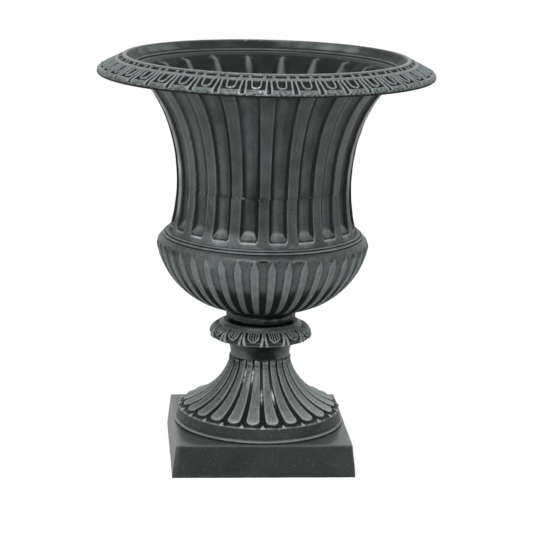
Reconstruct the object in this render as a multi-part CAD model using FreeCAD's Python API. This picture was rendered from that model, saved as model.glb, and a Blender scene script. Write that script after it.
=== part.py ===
import FreeCAD, Part

# A cast-iron garden urn in five castings, bolted together from inside:
#   plinth      square hollow base with sloping sides
#   pedestal    base band, tongued trumpet, plain neck and knop, hollow
#   lower_bowl  collar, ribbed bowl, two beads and the fluted drum up to the waist
#   upper_body  fluted flare from the waist to a flange under the rim
#   rim_ring    overhanging rim with a cove inside
# The urn stands on Z = 0 and turns about the Z axis. Lengths are millimetres, angles degrees.
# Outlines are (radius, height) points, drawn in the XZ plane and turned about Z.

import math
import os

# ---------------------------------------------------------------- general
CLEARANCE = 0.3             # between a spigot and its rebate, and round the rim's skirt
THREAD_CLEARANCE = 0.1      # between a thread and its nut or tapped hole
BOLT_CLEARANCE = 0.5        # round a bolt that passes a plain hole
CURVE_STEPS = 10            # spans of a smooth outline
OVERRUN = 5.0               # how far a cutting tool stands out of what it cuts

# ---------------------------------------------------------------- plinth
PLINTH_BASE_WIDTH = 223.0
PLINTH_TOP_WIDTH = 214.6
PLINTH_HEIGHT = 39.5
PLINTH_WALL = 7.0
PLINTH_PLATE = 7.0
PLINTH_OPENING_RADIUS = 68.0
PLINTH_EDGE_ROUNDING = 1.5

# ---------------------------------------------------------------- pedestal
FOOT_BEAD_SIZE = 4.0
BAND_RADIUS = 103.0
BAND_TAPER = 3.4            # the band's top edge, in from its base
BAND_HEIGHT = 18.5
BAND_LEDGE = 2.6            # flat on the band's top edge
BAND_WALL = 7.1
TONGUE_END_INSET = 8.6      # tongue ends, in from the band's top edge
TONGUE_END_RISE = 7.3       # tongue ends above the band
TONGUE_THICKNESS = 3.3
TONGUE_COUNT = 24
TONGUE_TURN = -8.76         # angle of one tongue from the front
TONGUE_GAP_AT_NECK = 3.2
TONGUE_GAP_AT_FOOT = 8.6
TRUMPET_HEIGHT = 60.2
TRUMPET_SWEEP = 69.6
TRUMPET_SLOPE = 0.17        # share of the flare that is a straight slope
NECK_RADIUS = 36.7
NECK_SPREAD = 7.3           # the neck's widening up to the knop
NECK_SWEEP = 40.0
NECK_HEIGHT = 23.5
KNOP_OVERHANG = 19.4        # the knop's widest line, out from the neck's top
KNOP_LIP = 3.0
KNOP_SHOULDER_INSET = 10.4
KNOP_SHOULDER_RISE = 15.0
KNOP_TOP_INSET = 7.4        # the knop's top edge, in from its shoulder
KNOP_HEIGHT = 20.5
KNOP_SWEEP = 75.0
PEDESTAL_WALL = 8.5
PEDESTAL_PLATE = 12.0
FOOT_FLANGE_THICKNESS = 10.0
FOOT_FLANGE_WIDTH = 14.5

# ---------------------------------------------------------------- lower bowl
COLLAR_INSET = 7.6          # the collar's upright foot, in from the knop's top edge
COLLAR_BULGE = 5.0
COLLAR_HEIGHT = 15.0
COLLAR_GROOVE = 3.0
BOWL_BOTTOM_RADIUS = 54.8
BOWL_HEIGHT = 78.0
BOWL_SWEEP = 77.0
BOWL_SLOPE = 0.18
BOWL_WALL = 8.5
BOWL_FLOOR = 8.0            # floor above the bowl's lowest ring
BOWL_FLOOR_RADIUS = 46.0
SHOULDER_HEIGHT = 11.4
SHOULDER_BULGE = 7.4        # the bowl's widest line, out from the shoulder's top
SHOULDER_SWEEP = 70.0
LOWER_BEAD = 3.4
UPPER_BEAD = 2.6
BEAD_STEP = 3.0             # from one bead in to the next, and from the upper one to the drum
RIB_COUNT = 40
RIB_TURN = 0.0
RIB_GROOVE_DEPTH = 3.4
RIB_GROOVE_AT_TOP = 12.5
RIB_GROOVE_AT_BOTTOM = 4.2
DRUM_HEIGHT = 57.5
DRUM_SPREAD = 8.2           # the drum's widening down to the beads
DRUM_SWEEP = 16.0
DRUM_WALL = 11.0
WAIST_RADIUS = 106.8

# ---------------------------------------------------------------- upper body
BODY_HEIGHT = 137.0         # from the waist to the underside of the top flange
BODY_SPREAD = 56.2          # the flare's widening up to the flange
BODY_SWEEP = 66.0
BODY_WALL = 7.0
TOP_FLANGE_WIDTH = 13.0
TOP_FLANGE_THICKNESS = 6.0
THROAT_INSET = 14.0         # throat edge, in from the body under the flange
THROAT_DROP = 3.5           # throat edge under the flange's top
FLUTE_COUNT = 20
FLUTE_TURN = -12.66
FLUTE_SHARE = 0.64          # share of the pitch that is channel
FLUTE_DEPTH = 5.5
FLUTE_FOOT_RISE = 6.0       # channel's lower end above the beads
FLUTE_END_LENGTH = 11.0
FLUTE_TOP_GAP = 5.0         # channel's upper end below the flange
RIDGE_SHARE = 0.5
RIDGE_HEIGHT = 5.0

# ---------------------------------------------------------------- rim
RIM_RADIUS = 205.0
RIM_HEIGHT = 13.6           # crest above the top flange
RIM_DROP = 7.0              # rim's widest line under its seat
RIM_NOSE_DEPTH = 5.0
RIM_NOSE_RISE = 6.6
RIM_NOSE_SWEEP = 62.0
RIM_SEAT_INSET = 4.2        # rim's inner edge, in from the body under the flange
RIM_STEP = 2.5              # upright edge of the rim over the throat
COVE_WIDTH = 10.6
COVE_DEPTH = 1.5
CREST_WIDTH = 3.6
RIM_LIP_WIDTH = 5.0
RIM_LIP_DROP = 3.0
RIM_THICKNESS = 5.6
RIM_EDGE = 2.2
SKIRT_WIDTH = 5.0
SKIRT_DEPTH = 4.0

# ---------------------------------------------------------------- fasteners
RIM_SCREW_COUNT = 8
RIM_SCREW_RADIUS = 3.0
RIM_SCREW_REACH = 7.5       # thread in the rim
RIM_HOLE_SPARE = 1.0
RIM_SCREW_TURN = 5.0
WAIST_FLANGE = 8.0
WAIST_FLANGE_WIDTH = 17.8
WAIST_SPIGOT_WIDTH = 3.0
WAIST_SPIGOT_HEIGHT = 3.0
WAIST_BOLT_COUNT = 4
WAIST_BOLT_RADIUS = 3.0
CENTRE_BOLT_RADIUS = 6.0
BOLT_TAIL = 2.5             # thread that stands out of a nut
SEAL_RADIUS = 17.0
SEAL_THICKNESS = 3.0
CENTRE_WASHER_RADIUS = 16.0
CENTRE_WASHER_THICKNESS = 2.5
DRAIN_COUNT = 3
DRAIN_RADIUS = 4.0
DRAIN_TURN = 60.0
PLINTH_BOLT_COUNT = 4
PLINTH_BOLT_RADIUS = 4.0
PLINTH_BOLT_TURN = 45.0
PLINTH_BOLT_REACH = 9.0
SMALL_WASHER = 1.6
HEAD_WIDTH = 1.65           # hexagon across flats, per shank diameter
HEAD_HEIGHT = 0.65          # head height, per shank diameter
NUT_HEIGHT = 0.8            # nut height, per shank diameter
WASHER_WIDTH = 2.0          # washer's outer diameter, per shank diameter

# ---------------------------------------------------------------- levels, from the ground up
PLINTH_TOP = PLINTH_HEIGHT
BAND_TOP = PLINTH_TOP + BAND_HEIGHT
TONGUE_END = BAND_TOP + TONGUE_END_RISE
NECK_BASE = TONGUE_END + TRUMPET_HEIGHT
KNOP_BASE = NECK_BASE + NECK_HEIGHT
PEDESTAL_TOP = KNOP_BASE + KNOP_HEIGHT
COLLAR_TOP = PEDESTAL_TOP + COLLAR_HEIGHT
BOWL_BOTTOM = COLLAR_TOP + COLLAR_GROOVE
BOWL_EQUATOR = BOWL_BOTTOM + BOWL_HEIGHT
SHOULDER_TOP = BOWL_EQUATOR + SHOULDER_HEIGHT
DRUM_BASE = SHOULDER_TOP + LOWER_BEAD + UPPER_BEAD
WAIST = DRUM_BASE + DRUM_HEIGHT
FLANGE_BASE = WAIST + BODY_HEIGHT
FLANGE_TOP = FLANGE_BASE + TOP_FLANGE_THICKNESS
CREST = FLANGE_TOP + RIM_HEIGHT
BOWL_FLOOR_LEVEL = BOWL_BOTTOM + BOWL_FLOOR
PEDESTAL_PLATE_BASE = PEDESTAL_TOP - PEDESTAL_PLATE
PLINTH_PLATE_BASE = PLINTH_TOP - PLINTH_PLATE

# ---------------------------------------------------------------- radii that follow
BAND_TOP_RADIUS = BAND_RADIUS - BAND_TAPER
FOOT_INNER_RADIUS = BAND_TOP_RADIUS - BAND_WALL
FOOT_FLANGE_BORE = FOOT_INNER_RADIUS - FOOT_FLANGE_WIDTH
TONGUE_END_RADIUS = BAND_TOP_RADIUS - TONGUE_END_INSET
NECK_TOP_RADIUS = NECK_RADIUS + NECK_SPREAD
KNOP_RADIUS = NECK_TOP_RADIUS + KNOP_OVERHANG
KNOP_SHOULDER_RADIUS = KNOP_RADIUS - KNOP_SHOULDER_INSET
KNOP_TOP_RADIUS = KNOP_SHOULDER_RADIUS - KNOP_TOP_INSET
COLLAR_NECK_RADIUS = KNOP_TOP_RADIUS - COLLAR_INSET
DRUM_BASE_RADIUS = WAIST_RADIUS + DRUM_SPREAD
UPPER_BEAD_RADIUS = DRUM_BASE_RADIUS + BEAD_STEP
LOWER_BEAD_RADIUS = UPPER_BEAD_RADIUS + BEAD_STEP
SHOULDER_RADIUS = LOWER_BEAD_RADIUS + LOWER_BEAD / 2
BOWL_RADIUS = SHOULDER_RADIUS + SHOULDER_BULGE
DRUM_INNER_RADIUS = WAIST_RADIUS - DRUM_WALL
WAIST_FLANGE_BORE = DRUM_INNER_RADIUS - WAIST_FLANGE_WIDTH
WAIST_REBATE_RADIUS = WAIST_FLANGE_BORE + WAIST_SPIGOT_WIDTH + CLEARANCE
BODY_TOP_RADIUS = WAIST_RADIUS + BODY_SPREAD
THROAT_RADIUS = BODY_TOP_RADIUS - THROAT_INSET
TOP_FLANGE_RADIUS = BODY_TOP_RADIUS + TOP_FLANGE_WIDTH
RIM_INNER_RADIUS = BODY_TOP_RADIUS - RIM_SEAT_INSET
CREST_RADIUS = RIM_INNER_RADIUS + COVE_WIDTH
CREST_OUTER_RADIUS = CREST_RADIUS + CREST_WIDTH
RIM_LIP_RADIUS = CREST_OUTER_RADIUS + RIM_LIP_WIDTH
RIM_NOSE_RADIUS = RIM_RADIUS - RIM_NOSE_DEPTH

# ---------------------------------------------------------------- bolt circles
RIM_SCREW_CIRCLE = (BODY_TOP_RADIUS + TOP_FLANGE_RADIUS) / 2
WAIST_BOLT_CIRCLE = (WAIST_REBATE_RADIUS + DRUM_INNER_RADIUS) / 2
WAIST_BOLT_TURN = FLUTE_TURN + 180.0 / FLUTE_COUNT     # between two ridges
DRAIN_CIRCLE = (SEAL_RADIUS + COLLAR_NECK_RADIUS) / 2
PLINTH_BOLT_CIRCLE = (FOOT_FLANGE_BORE + FOOT_INNER_RADIUS) / 2

AXIS = FreeCAD.Vector(0, 0, 1)
ORIGIN = FreeCAD.Vector(0, 0, 0)


# ---------------------------------------------------------------- outlines
def at(point):
    """Vector of an outline point, given as (radius, height)."""
    return FreeCAD.Vector(point[0], 0, point[1])


def line(start, end):
    return Part.LineSegment(at(start), at(end)).toShape()


def arc(start, middle, end):
    return Part.Arc(at(start), at(middle), at(end)).toShape()


def smooth(points):
    """One smooth edge through the points."""
    curve = Part.BSplineCurve()
    curve.interpolate([at(point) for point in points])
    return curve.toShape()


def flare(start, end, sweep, slope=0.0):
    """Points from start to end on a stretched arc of an ellipse that leaves start upright.

    sweep is the angle of the ellipse that is used, and slope is the share of the radial travel
    that a straight slope takes."""
    points = []
    for step in range(CURVE_STEPS + 1):
        angle = math.radians(sweep * step / CURVE_STEPS)
        rise = math.sin(angle) / math.sin(math.radians(sweep))
        bend = (1 - math.cos(angle)) / (1 - math.cos(math.radians(sweep)))
        reach = slope * rise + (1 - slope) * bend
        radius = start[0] + (end[0] - start[0]) * reach
        points.append((radius, start[1] + (end[1] - start[1]) * rise))
    return points


def chain(*points):
    """Straight edges through the points."""
    return [line(start, end) for start, end in zip(points, points[1:])]


def half_round(start, end, bulge):
    """A bead's edge from start to end, standing out by bulge."""
    middle = ((start[0] + end[0]) / 2 + bulge, (start[1] + end[1]) / 2)
    return arc(start, middle, end)


def turned(edges):
    """Solid of the closed outline turned about Z."""
    face = Part.Face(Part.Wire(edges))
    return face.revolve(ORIGIN, AXIS, 360)


# ---------------------------------------------------------------- channels that follow an outline
def stations(points, share_list):
    """Places along the outline at the given shares of its length, each with its outward normal.

    A share below 0 or above 1 lies on the straight line that leaves that end."""
    edge = smooth(points)
    found = []
    for share in share_list:
        inside = min(max(share, 0.0), 1.0)
        parameter = edge.getParameterByLength(edge.Length * inside)
        along = edge.tangentAt(parameter)
        place = edge.valueAt(parameter) + along * (edge.Length * (share - inside))
        outward = FreeCAD.Vector(along.z, 0, -along.x)
        if outward.x < 0:
            outward = outward * -1
        found.append((place, along, outward))
    return found


def ring_at(place, along, outward, radius, sunk):
    """Circle square to the outline, sunk so deep into the surface."""
    circle = Part.makeCircle(radius, ORIGIN, AXIS)
    frame = FreeCAD.Matrix()
    side = along.cross(outward)
    centre = place + outward * (radius - sunk)
    frame.A11, frame.A21, frame.A31 = outward.x, outward.y, outward.z
    frame.A12, frame.A22, frame.A32 = side.x, side.y, side.z
    frame.A13, frame.A23, frame.A33 = along.x, along.y, along.z
    frame.A14, frame.A24, frame.A34 = centre.x, centre.y, centre.z
    circle.transformShape(frame)
    return Part.Wire(circle)


def groove_radius(width, depth):
    """Radius of the arc that is so wide and so deep."""
    return (width * width / 4 + depth * depth) / (2 * depth)


def channel(sections):
    """Round tool through sections of (station, width, full depth, depth here)."""
    rings = []
    for (place, along, outward), width, depth, here in sections:
        rings.append(ring_at(place, along, outward, groove_radius(width, depth), here))
    return Part.makeLoft(rings, True, False)


def round_the_axis(shape, count, first_turn):
    """Copies of a shape that lies at +X, spread round Z. Angles run from the front, -Y, to +X."""
    copies = []
    for index in range(count):
        copy = shape.copy()
        copy.rotate(ORIGIN, AXIS, first_turn + index * 360.0 / count - 90)
        copies.append(copy)
    return copies


# ---------------------------------------------------------------- fasteners
def cylinder(radius, base, height):
    return Part.makeCylinder(radius, height, FreeCAD.Vector(0, 0, base), AXIS)


def washer(shank_radius, outer_radius, base, thickness):
    bore = cylinder(shank_radius + BOLT_CLEARANCE, base, thickness)
    return cylinder(outer_radius, base, thickness).cut(bore)


def hexagon(shank_radius, base, height):
    """Hexagonal prism for a head or a nut."""
    corner = shank_radius * HEAD_WIDTH / math.cos(math.radians(30))
    turns = [math.radians(60 * side) for side in range(7)]
    points = [FreeCAD.Vector(corner * math.cos(turn), corner * math.sin(turn), base) for turn in turns]
    return Part.Face(Part.makePolygon(points)).extrude(AXIS * height)


def bolt(shank_radius, head_base, shank_end):
    """Bolt with its head's bearing face at head_base. The head is on the far side from shank_end."""
    height = 2 * shank_radius * HEAD_HEIGHT
    if shank_end < head_base:
        shank = cylinder(shank_radius, shank_end, head_base - shank_end)
        return hexagon(shank_radius, head_base, height).fuse(shank)
    shank = cylinder(shank_radius, head_base, shank_end - head_base)
    return hexagon(shank_radius, head_base - height, height).fuse(shank)


def nut(shank_radius, base):
    height = 2 * shank_radius * NUT_HEIGHT
    bore = cylinder(shank_radius + THREAD_CLEARANCE, base, height)
    return hexagon(shank_radius, base, height).cut(bore)


def on_circle(shape, circle_radius, count, first_turn):
    """Copies of an upright shape, moved out to a bolt circle."""
    moved = shape.copy()
    moved.translate(FreeCAD.Vector(circle_radius, 0, 0))
    return round_the_axis(moved, count, first_turn)


def drill_holes(shape, hole_radius, base, top, circle_radius, count, first_turn):
    hole = cylinder(hole_radius, base, top - base)
    return shape.cut(on_circle(hole, circle_radius, count, first_turn))


# ---------------------------------------------------------------- plinth
def square(width, height):
    half = width / 2
    corners = [(half, half), (-half, half), (-half, -half), (half, -half), (half, half)]
    return Part.makePolygon([FreeCAD.Vector(x, y, height) for x, y in corners])


def make_plinth():
    """Hollow base: four sloping walls and a plate with the drain opening and the bolt holes."""
    outside = Part.makeLoft([square(PLINTH_BASE_WIDTH, 0), square(PLINTH_TOP_WIDTH, PLINTH_TOP)], True, True)
    upper_edges = [edge for edge in outside.Edges if edge.BoundBox.ZMax > PLINTH_TOP / 2]
    outside = outside.makeFillet(PLINTH_EDGE_ROUNDING, upper_edges)
    slope = (PLINTH_BASE_WIDTH - PLINTH_TOP_WIDTH) / PLINTH_HEIGHT
    inner_base = PLINTH_BASE_WIDTH - 2 * PLINTH_WALL
    inner_top = inner_base - slope * PLINTH_PLATE_BASE
    low = square(inner_base + slope * OVERRUN, -OVERRUN)
    inside = Part.makeLoft([low, square(inner_top, PLINTH_PLATE_BASE)], True, True)
    shell = outside.cut(inside)
    shell = shell.cut(cylinder(PLINTH_OPENING_RADIUS, 0, PLINTH_TOP + OVERRUN))
    return drill_holes(shell, PLINTH_BOLT_RADIUS + BOLT_CLEARANCE, 0, PLINTH_TOP + OVERRUN,
                       PLINTH_BOLT_CIRCLE, PLINTH_BOLT_COUNT, PLINTH_BOLT_TURN)


# ---------------------------------------------------------------- pedestal
def trumpet_outline():
    return flare((NECK_RADIUS, NECK_BASE), (TONGUE_END_RADIUS, TONGUE_END), TRUMPET_SWEEP, TRUMPET_SLOPE)


def neck_outline():
    return flare((NECK_RADIUS, NECK_BASE), (NECK_TOP_RADIUS, KNOP_BASE), NECK_SWEEP)


def inset(points, depth):
    """The same curve, moved into the wall by depth."""
    moved = []
    for place, along, outward in stations(points, [step / CURVE_STEPS for step in range(CURVE_STEPS + 1)]):
        inner = place - outward * depth
        moved.append((inner.x, inner.z))
    return moved


def pedestal_outside():
    """Outline from the plinth up: bead, band, tongue ends, trumpet, neck and knop."""
    bead_start = (BAND_RADIUS, PLINTH_TOP)
    bead_end = (BAND_RADIUS, PLINTH_TOP + FOOT_BEAD_SIZE)
    trumpet = trumpet_outline()
    tongue_foot = inset(trumpet, TONGUE_THICKNESS)[-1]
    knop_edge = (KNOP_RADIUS, KNOP_BASE + KNOP_LIP)
    shoulder = (KNOP_SHOULDER_RADIUS, KNOP_BASE + KNOP_SHOULDER_RISE)
    knop_top = (KNOP_TOP_RADIUS, PEDESTAL_TOP)
    knop_foot = (KNOP_RADIUS - KNOP_LIP, KNOP_BASE)
    edges = [half_round(bead_start, bead_end, FOOT_BEAD_SIZE / 2)]
    edges += chain(bead_end, (BAND_TOP_RADIUS, BAND_TOP), (BAND_TOP_RADIUS - BAND_LEDGE, BAND_TOP + 1.0),
                   tongue_foot, trumpet[-1])
    edges.append(smooth(trumpet))
    edges.append(smooth(neck_outline()))
    edges += chain((NECK_TOP_RADIUS, KNOP_BASE), knop_foot)
    edges.append(arc(knop_foot, (KNOP_RADIUS - 0.3 * KNOP_LIP, KNOP_BASE + 0.3 * KNOP_LIP), knop_edge))
    edges.append(smooth(flare(knop_edge, shoulder, KNOP_SWEEP)))
    edges.append(half_round(shoulder, knop_top, -1.0))
    edges += chain(knop_top, (0, PEDESTAL_TOP), (0, PLINTH_TOP), bead_start)
    return edges


def pedestal_inside():
    """Outline of the hollow: foot flange, trumpet, neck and the core under the top plate."""
    trumpet = inset(trumpet_outline(), PEDESTAL_WALL)
    neck = [trumpet[0]] + inset(neck_outline(), PEDESTAL_WALL)[1:]
    flange_top = PLINTH_TOP + FOOT_FLANGE_THICKNESS
    low = PLINTH_TOP - OVERRUN
    edges = chain((0, low), (FOOT_FLANGE_BORE, low), (FOOT_FLANGE_BORE, flange_top),
                  (FOOT_INNER_RADIUS, flange_top), trumpet[-1])
    edges.append(smooth(trumpet))
    edges.append(smooth(neck))
    edges += chain(neck[-1], (neck[-1][0], PEDESTAL_PLATE_BASE), (0, PEDESTAL_PLATE_BASE), (0, low))
    return edges


def tongue_gaps():
    """Channels between the tongues, which widen down to the foot."""
    places = stations(trumpet_outline(), [-0.02, 0.05, 0.25, 0.5, 0.75, 1.0, 1.12])
    sections = []
    for index, place in enumerate(places):
        share = index / (len(places) - 1)
        width = TONGUE_GAP_AT_NECK + (TONGUE_GAP_AT_FOOT - TONGUE_GAP_AT_NECK) * share
        depth_here = 0.0 if index == 0 else TONGUE_THICKNESS
        sections.append((place, width, TONGUE_THICKNESS, depth_here))
    tool = channel(sections)
    return round_the_axis(tool, TONGUE_COUNT, TONGUE_TURN + 180.0 / TONGUE_COUNT)


def make_pedestal():
    body = turned(pedestal_outside())
    body = body.cut(turned(pedestal_inside()))
    body = body.cut(tongue_gaps())
    body = body.cut(cylinder(CENTRE_BOLT_RADIUS + BOLT_CLEARANCE, PEDESTAL_PLATE_BASE - OVERRUN,
                             PEDESTAL_PLATE + 2 * OVERRUN))
    body = drill_holes(body, DRAIN_RADIUS, PEDESTAL_PLATE_BASE - OVERRUN, PEDESTAL_TOP + OVERRUN,
                       DRAIN_CIRCLE, DRAIN_COUNT, DRAIN_TURN)
    return drill_holes(body, PLINTH_BOLT_RADIUS + THREAD_CLEARANCE, PLINTH_TOP - OVERRUN,
                       PLINTH_TOP + FOOT_FLANGE_THICKNESS, PLINTH_BOLT_CIRCLE, PLINTH_BOLT_COUNT,
                       PLINTH_BOLT_TURN)


# ---------------------------------------------------------------- lower bowl
def bowl_outline():
    return flare((BOWL_RADIUS, BOWL_EQUATOR), (BOWL_BOTTOM_RADIUS, BOWL_BOTTOM), BOWL_SWEEP, BOWL_SLOPE)


def drum_outline():
    return flare((WAIST_RADIUS, WAIST), (DRUM_BASE_RADIUS, DRUM_BASE), DRUM_SWEEP)


def body_outline():
    return flare((WAIST_RADIUS, WAIST), (BODY_TOP_RADIUS, FLANGE_BASE), BODY_SWEEP)


def bowl_outside():
    """Outline from the collar up: collar, ribbed bowl, shoulder, two beads, drum, flange and spigot."""
    collar_base = (COLLAR_NECK_RADIUS, PEDESTAL_TOP)
    collar_top = (COLLAR_NECK_RADIUS, COLLAR_TOP)
    shoulder_top = (SHOULDER_RADIUS, SHOULDER_TOP)
    bead_base = (LOWER_BEAD_RADIUS, SHOULDER_TOP)
    bead_middle = (LOWER_BEAD_RADIUS, SHOULDER_TOP + LOWER_BEAD)
    upper_base = (UPPER_BEAD_RADIUS, bead_middle[1])
    upper_top = (UPPER_BEAD_RADIUS, DRUM_BASE)
    spigot_top = WAIST + WAIST_SPIGOT_HEIGHT
    spigot_radius = WAIST_FLANGE_BORE + WAIST_SPIGOT_WIDTH
    edges = [half_round(collar_base, collar_top, COLLAR_BULGE)]
    edges += chain(collar_top, (COLLAR_NECK_RADIUS, BOWL_BOTTOM), (BOWL_BOTTOM_RADIUS, BOWL_BOTTOM))
    edges.append(smooth(bowl_outline()))
    edges.append(smooth(flare((BOWL_RADIUS, BOWL_EQUATOR), shoulder_top, SHOULDER_SWEEP)))
    edges += chain(shoulder_top, bead_base)
    edges.append(half_round(bead_base, bead_middle, LOWER_BEAD / 2))
    edges += chain(bead_middle, upper_base)
    edges.append(half_round(upper_base, upper_top, UPPER_BEAD / 2))
    edges += chain(upper_top, (DRUM_BASE_RADIUS, DRUM_BASE))
    edges.append(smooth(drum_outline()))
    edges += chain((WAIST_RADIUS, WAIST), (spigot_radius, WAIST), (spigot_radius, spigot_top),
                   (0, spigot_top), (0, PEDESTAL_TOP), collar_base)
    return edges


def bowl_inside():
    """Outline of the hollow: floor, bowl, drum wall and the bore of the waist flange."""
    inner_bowl = flare((BOWL_RADIUS - BOWL_WALL, BOWL_EQUATOR), (BOWL_FLOOR_RADIUS, BOWL_FLOOR_LEVEL),
                       BOWL_SWEEP, BOWL_SLOPE)
    flange_base = WAIST - WAIST_FLANGE
    inner_drum = flare((DRUM_INNER_RADIUS, flange_base), (DRUM_BASE_RADIUS - DRUM_WALL, DRUM_BASE),
                       DRUM_SWEEP)
    high = WAIST + WAIST_SPIGOT_HEIGHT + OVERRUN
    edges = [smooth(inner_bowl)]
    edges += chain(inner_bowl[0], inner_drum[-1])
    edges.append(smooth(inner_drum))
    edges += chain(inner_drum[0], (WAIST_FLANGE_BORE, flange_base), (WAIST_FLANGE_BORE, high), (0, high),
                   (0, BOWL_FLOOR_LEVEL), inner_bowl[-1])
    return edges


def rib_grooves():
    """Hollows between the bowl's ribs, narrow at the collar and rounded off at the top."""
    places = stations(bowl_outline(), [0.0, 0.045, 0.11, 0.3, 0.5, 0.7, 0.86, 1.02])
    sections = []
    for index, place in enumerate(places):
        radius_share = (place[0].x - BOWL_BOTTOM_RADIUS) / (BOWL_RADIUS - BOWL_BOTTOM_RADIUS)
        width = RIB_GROOVE_AT_BOTTOM + (RIB_GROOVE_AT_TOP - RIB_GROOVE_AT_BOTTOM) * max(radius_share, 0.0)
        depth_here = (-0.3, 0.6 * RIB_GROOVE_DEPTH)[index] if index < 2 else RIB_GROOVE_DEPTH
        sections.append((place, width, RIB_GROOVE_DEPTH, depth_here))
    return round_the_axis(channel(sections), RIB_COUNT, RIB_TURN + 180.0 / RIB_COUNT)


def make_lower_bowl():
    bowl = turned(bowl_outside())
    bowl = bowl.cut(turned(bowl_inside()))
    bowl = bowl.cut(rib_grooves())
    bowl = bowl.cut(flute_channels())
    bowl = bowl.cut(cylinder(CENTRE_BOLT_RADIUS + BOLT_CLEARANCE, PEDESTAL_TOP - OVERRUN,
                             BOWL_FLOOR_LEVEL - PEDESTAL_TOP + 2 * OVERRUN))
    bowl = drill_holes(bowl, DRAIN_RADIUS, PEDESTAL_TOP - OVERRUN, BOWL_FLOOR_LEVEL + OVERRUN,
                       DRAIN_CIRCLE, DRAIN_COUNT, DRAIN_TURN)
    return drill_holes(bowl, WAIST_BOLT_RADIUS + BOLT_CLEARANCE, WAIST - WAIST_FLANGE - OVERRUN,
                       WAIST + OVERRUN, WAIST_BOLT_CIRCLE, WAIST_BOLT_COUNT, WAIST_BOLT_TURN)


# ---------------------------------------------------------------- upper body
def flute_channels():
    """Channels of the drum and the flared body, rounded off at both ends."""
    low_end = DRUM_BASE + FLUTE_FOOT_RISE
    high_end = FLANGE_BASE - FLUTE_TOP_GAP
    below = [(radius, height) for radius, height in drum_outline() if height < WAIST]
    path = list(reversed(below)) + body_outline()
    edge = smooth(path)
    heights = [low_end, low_end + 0.3 * FLUTE_END_LENGTH, low_end + FLUTE_END_LENGTH]
    steps = 8
    for step in range(1, steps):
        heights.append(heights[2] + (high_end - FLUTE_END_LENGTH - heights[2]) * step / steps)
    heights += [high_end - FLUTE_END_LENGTH, high_end - 0.3 * FLUTE_END_LENGTH, high_end]
    depths = [-0.3, 0.6 * FLUTE_DEPTH] + [FLUTE_DEPTH] * (len(heights) - 4) + [0.6 * FLUTE_DEPTH, -0.3]
    sections = []
    for height, depth_here in zip(heights, depths):
        place = place_at_height(edge, height)
        width = 2 * math.pi * place[0].x / FLUTE_COUNT * FLUTE_SHARE
        sections.append((place, width, FLUTE_DEPTH, depth_here))
    return round_the_axis(channel(sections), FLUTE_COUNT, FLUTE_TURN)


def place_at_height(edge, height):
    """The place on a rising outline at this height, with its outward normal."""
    low, high = edge.ParameterRange
    for halving in range(40):
        middle = (low + high) / 2
        if edge.valueAt(middle).z < height:
            low = middle
        else:
            high = middle
    along = edge.tangentAt(low)
    return (edge.valueAt(low), along, FreeCAD.Vector(along.z, 0, -along.x))


def inner_ridges():
    """Rounded ridges on the inside of the body, behind the channels."""
    outline = body_inner_outline()
    places = stations(outline, [0.0, 0.15, 0.3, 0.5, 0.7, 0.88, 0.96])
    sections = []
    for place in places:
        width = 2 * math.pi * place[0].x / FLUTE_COUNT * RIDGE_SHARE
        sunk = RIDGE_HEIGHT if place is not places[-1] else 0.3 * RIDGE_HEIGHT
        sections.append((place, width, sunk))
    rings = []
    for (place, along, outward), width, sunk in sections:
        radius = groove_radius(width, RIDGE_HEIGHT)
        rings.append(ring_at(place, along, outward, radius, sunk))
    return round_the_axis(Part.makeLoft(rings, True, False), FLUTE_COUNT, FLUTE_TURN)


def body_inner_outline():
    return flare((WAIST_RADIUS - BODY_WALL, WAIST), (THROAT_RADIUS, FLANGE_TOP - THROAT_DROP), BODY_SWEEP)


def body_inside():
    """Outline of the hollow: bore of the waist flange, flared wall and the throat's edge."""
    wall = body_inner_outline()
    flange_top = WAIST + WAIST_FLANGE
    bore = WAIST_REBATE_RADIUS
    wall = [(WAIST_RADIUS - BODY_WALL, flange_top)] + [point for point in wall if point[1] > flange_top + 1]
    low = WAIST - OVERRUN
    high = FLANGE_TOP + OVERRUN
    edges = chain((0, low), (bore, low), (bore, flange_top), wall[0])
    edges.append(smooth(wall))
    edges += chain(wall[-1], (RIM_INNER_RADIUS, FLANGE_TOP), (RIM_INNER_RADIUS, high), (0, high), (0, low))
    return edges


def make_upper_body():
    edges = [smooth(body_outline())]
    edges += chain((BODY_TOP_RADIUS, FLANGE_BASE), (TOP_FLANGE_RADIUS, FLANGE_BASE),
                   (TOP_FLANGE_RADIUS, FLANGE_TOP), (0, FLANGE_TOP), (0, WAIST), (WAIST_RADIUS, WAIST))
    body = turned(edges)
    hollow = turned(body_inside()).cut(inner_ridges())
    body = body.cut(hollow)
    body = body.cut(flute_channels())
    body = drill_holes(body, WAIST_BOLT_RADIUS + BOLT_CLEARANCE, WAIST - OVERRUN,
                       WAIST + WAIST_FLANGE + OVERRUN, WAIST_BOLT_CIRCLE, WAIST_BOLT_COUNT, WAIST_BOLT_TURN)
    return drill_holes(body, RIM_SCREW_RADIUS + BOLT_CLEARANCE, FLANGE_BASE - OVERRUN,
                       FLANGE_TOP + OVERRUN, RIM_SCREW_CIRCLE, RIM_SCREW_COUNT, RIM_SCREW_TURN)


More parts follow.
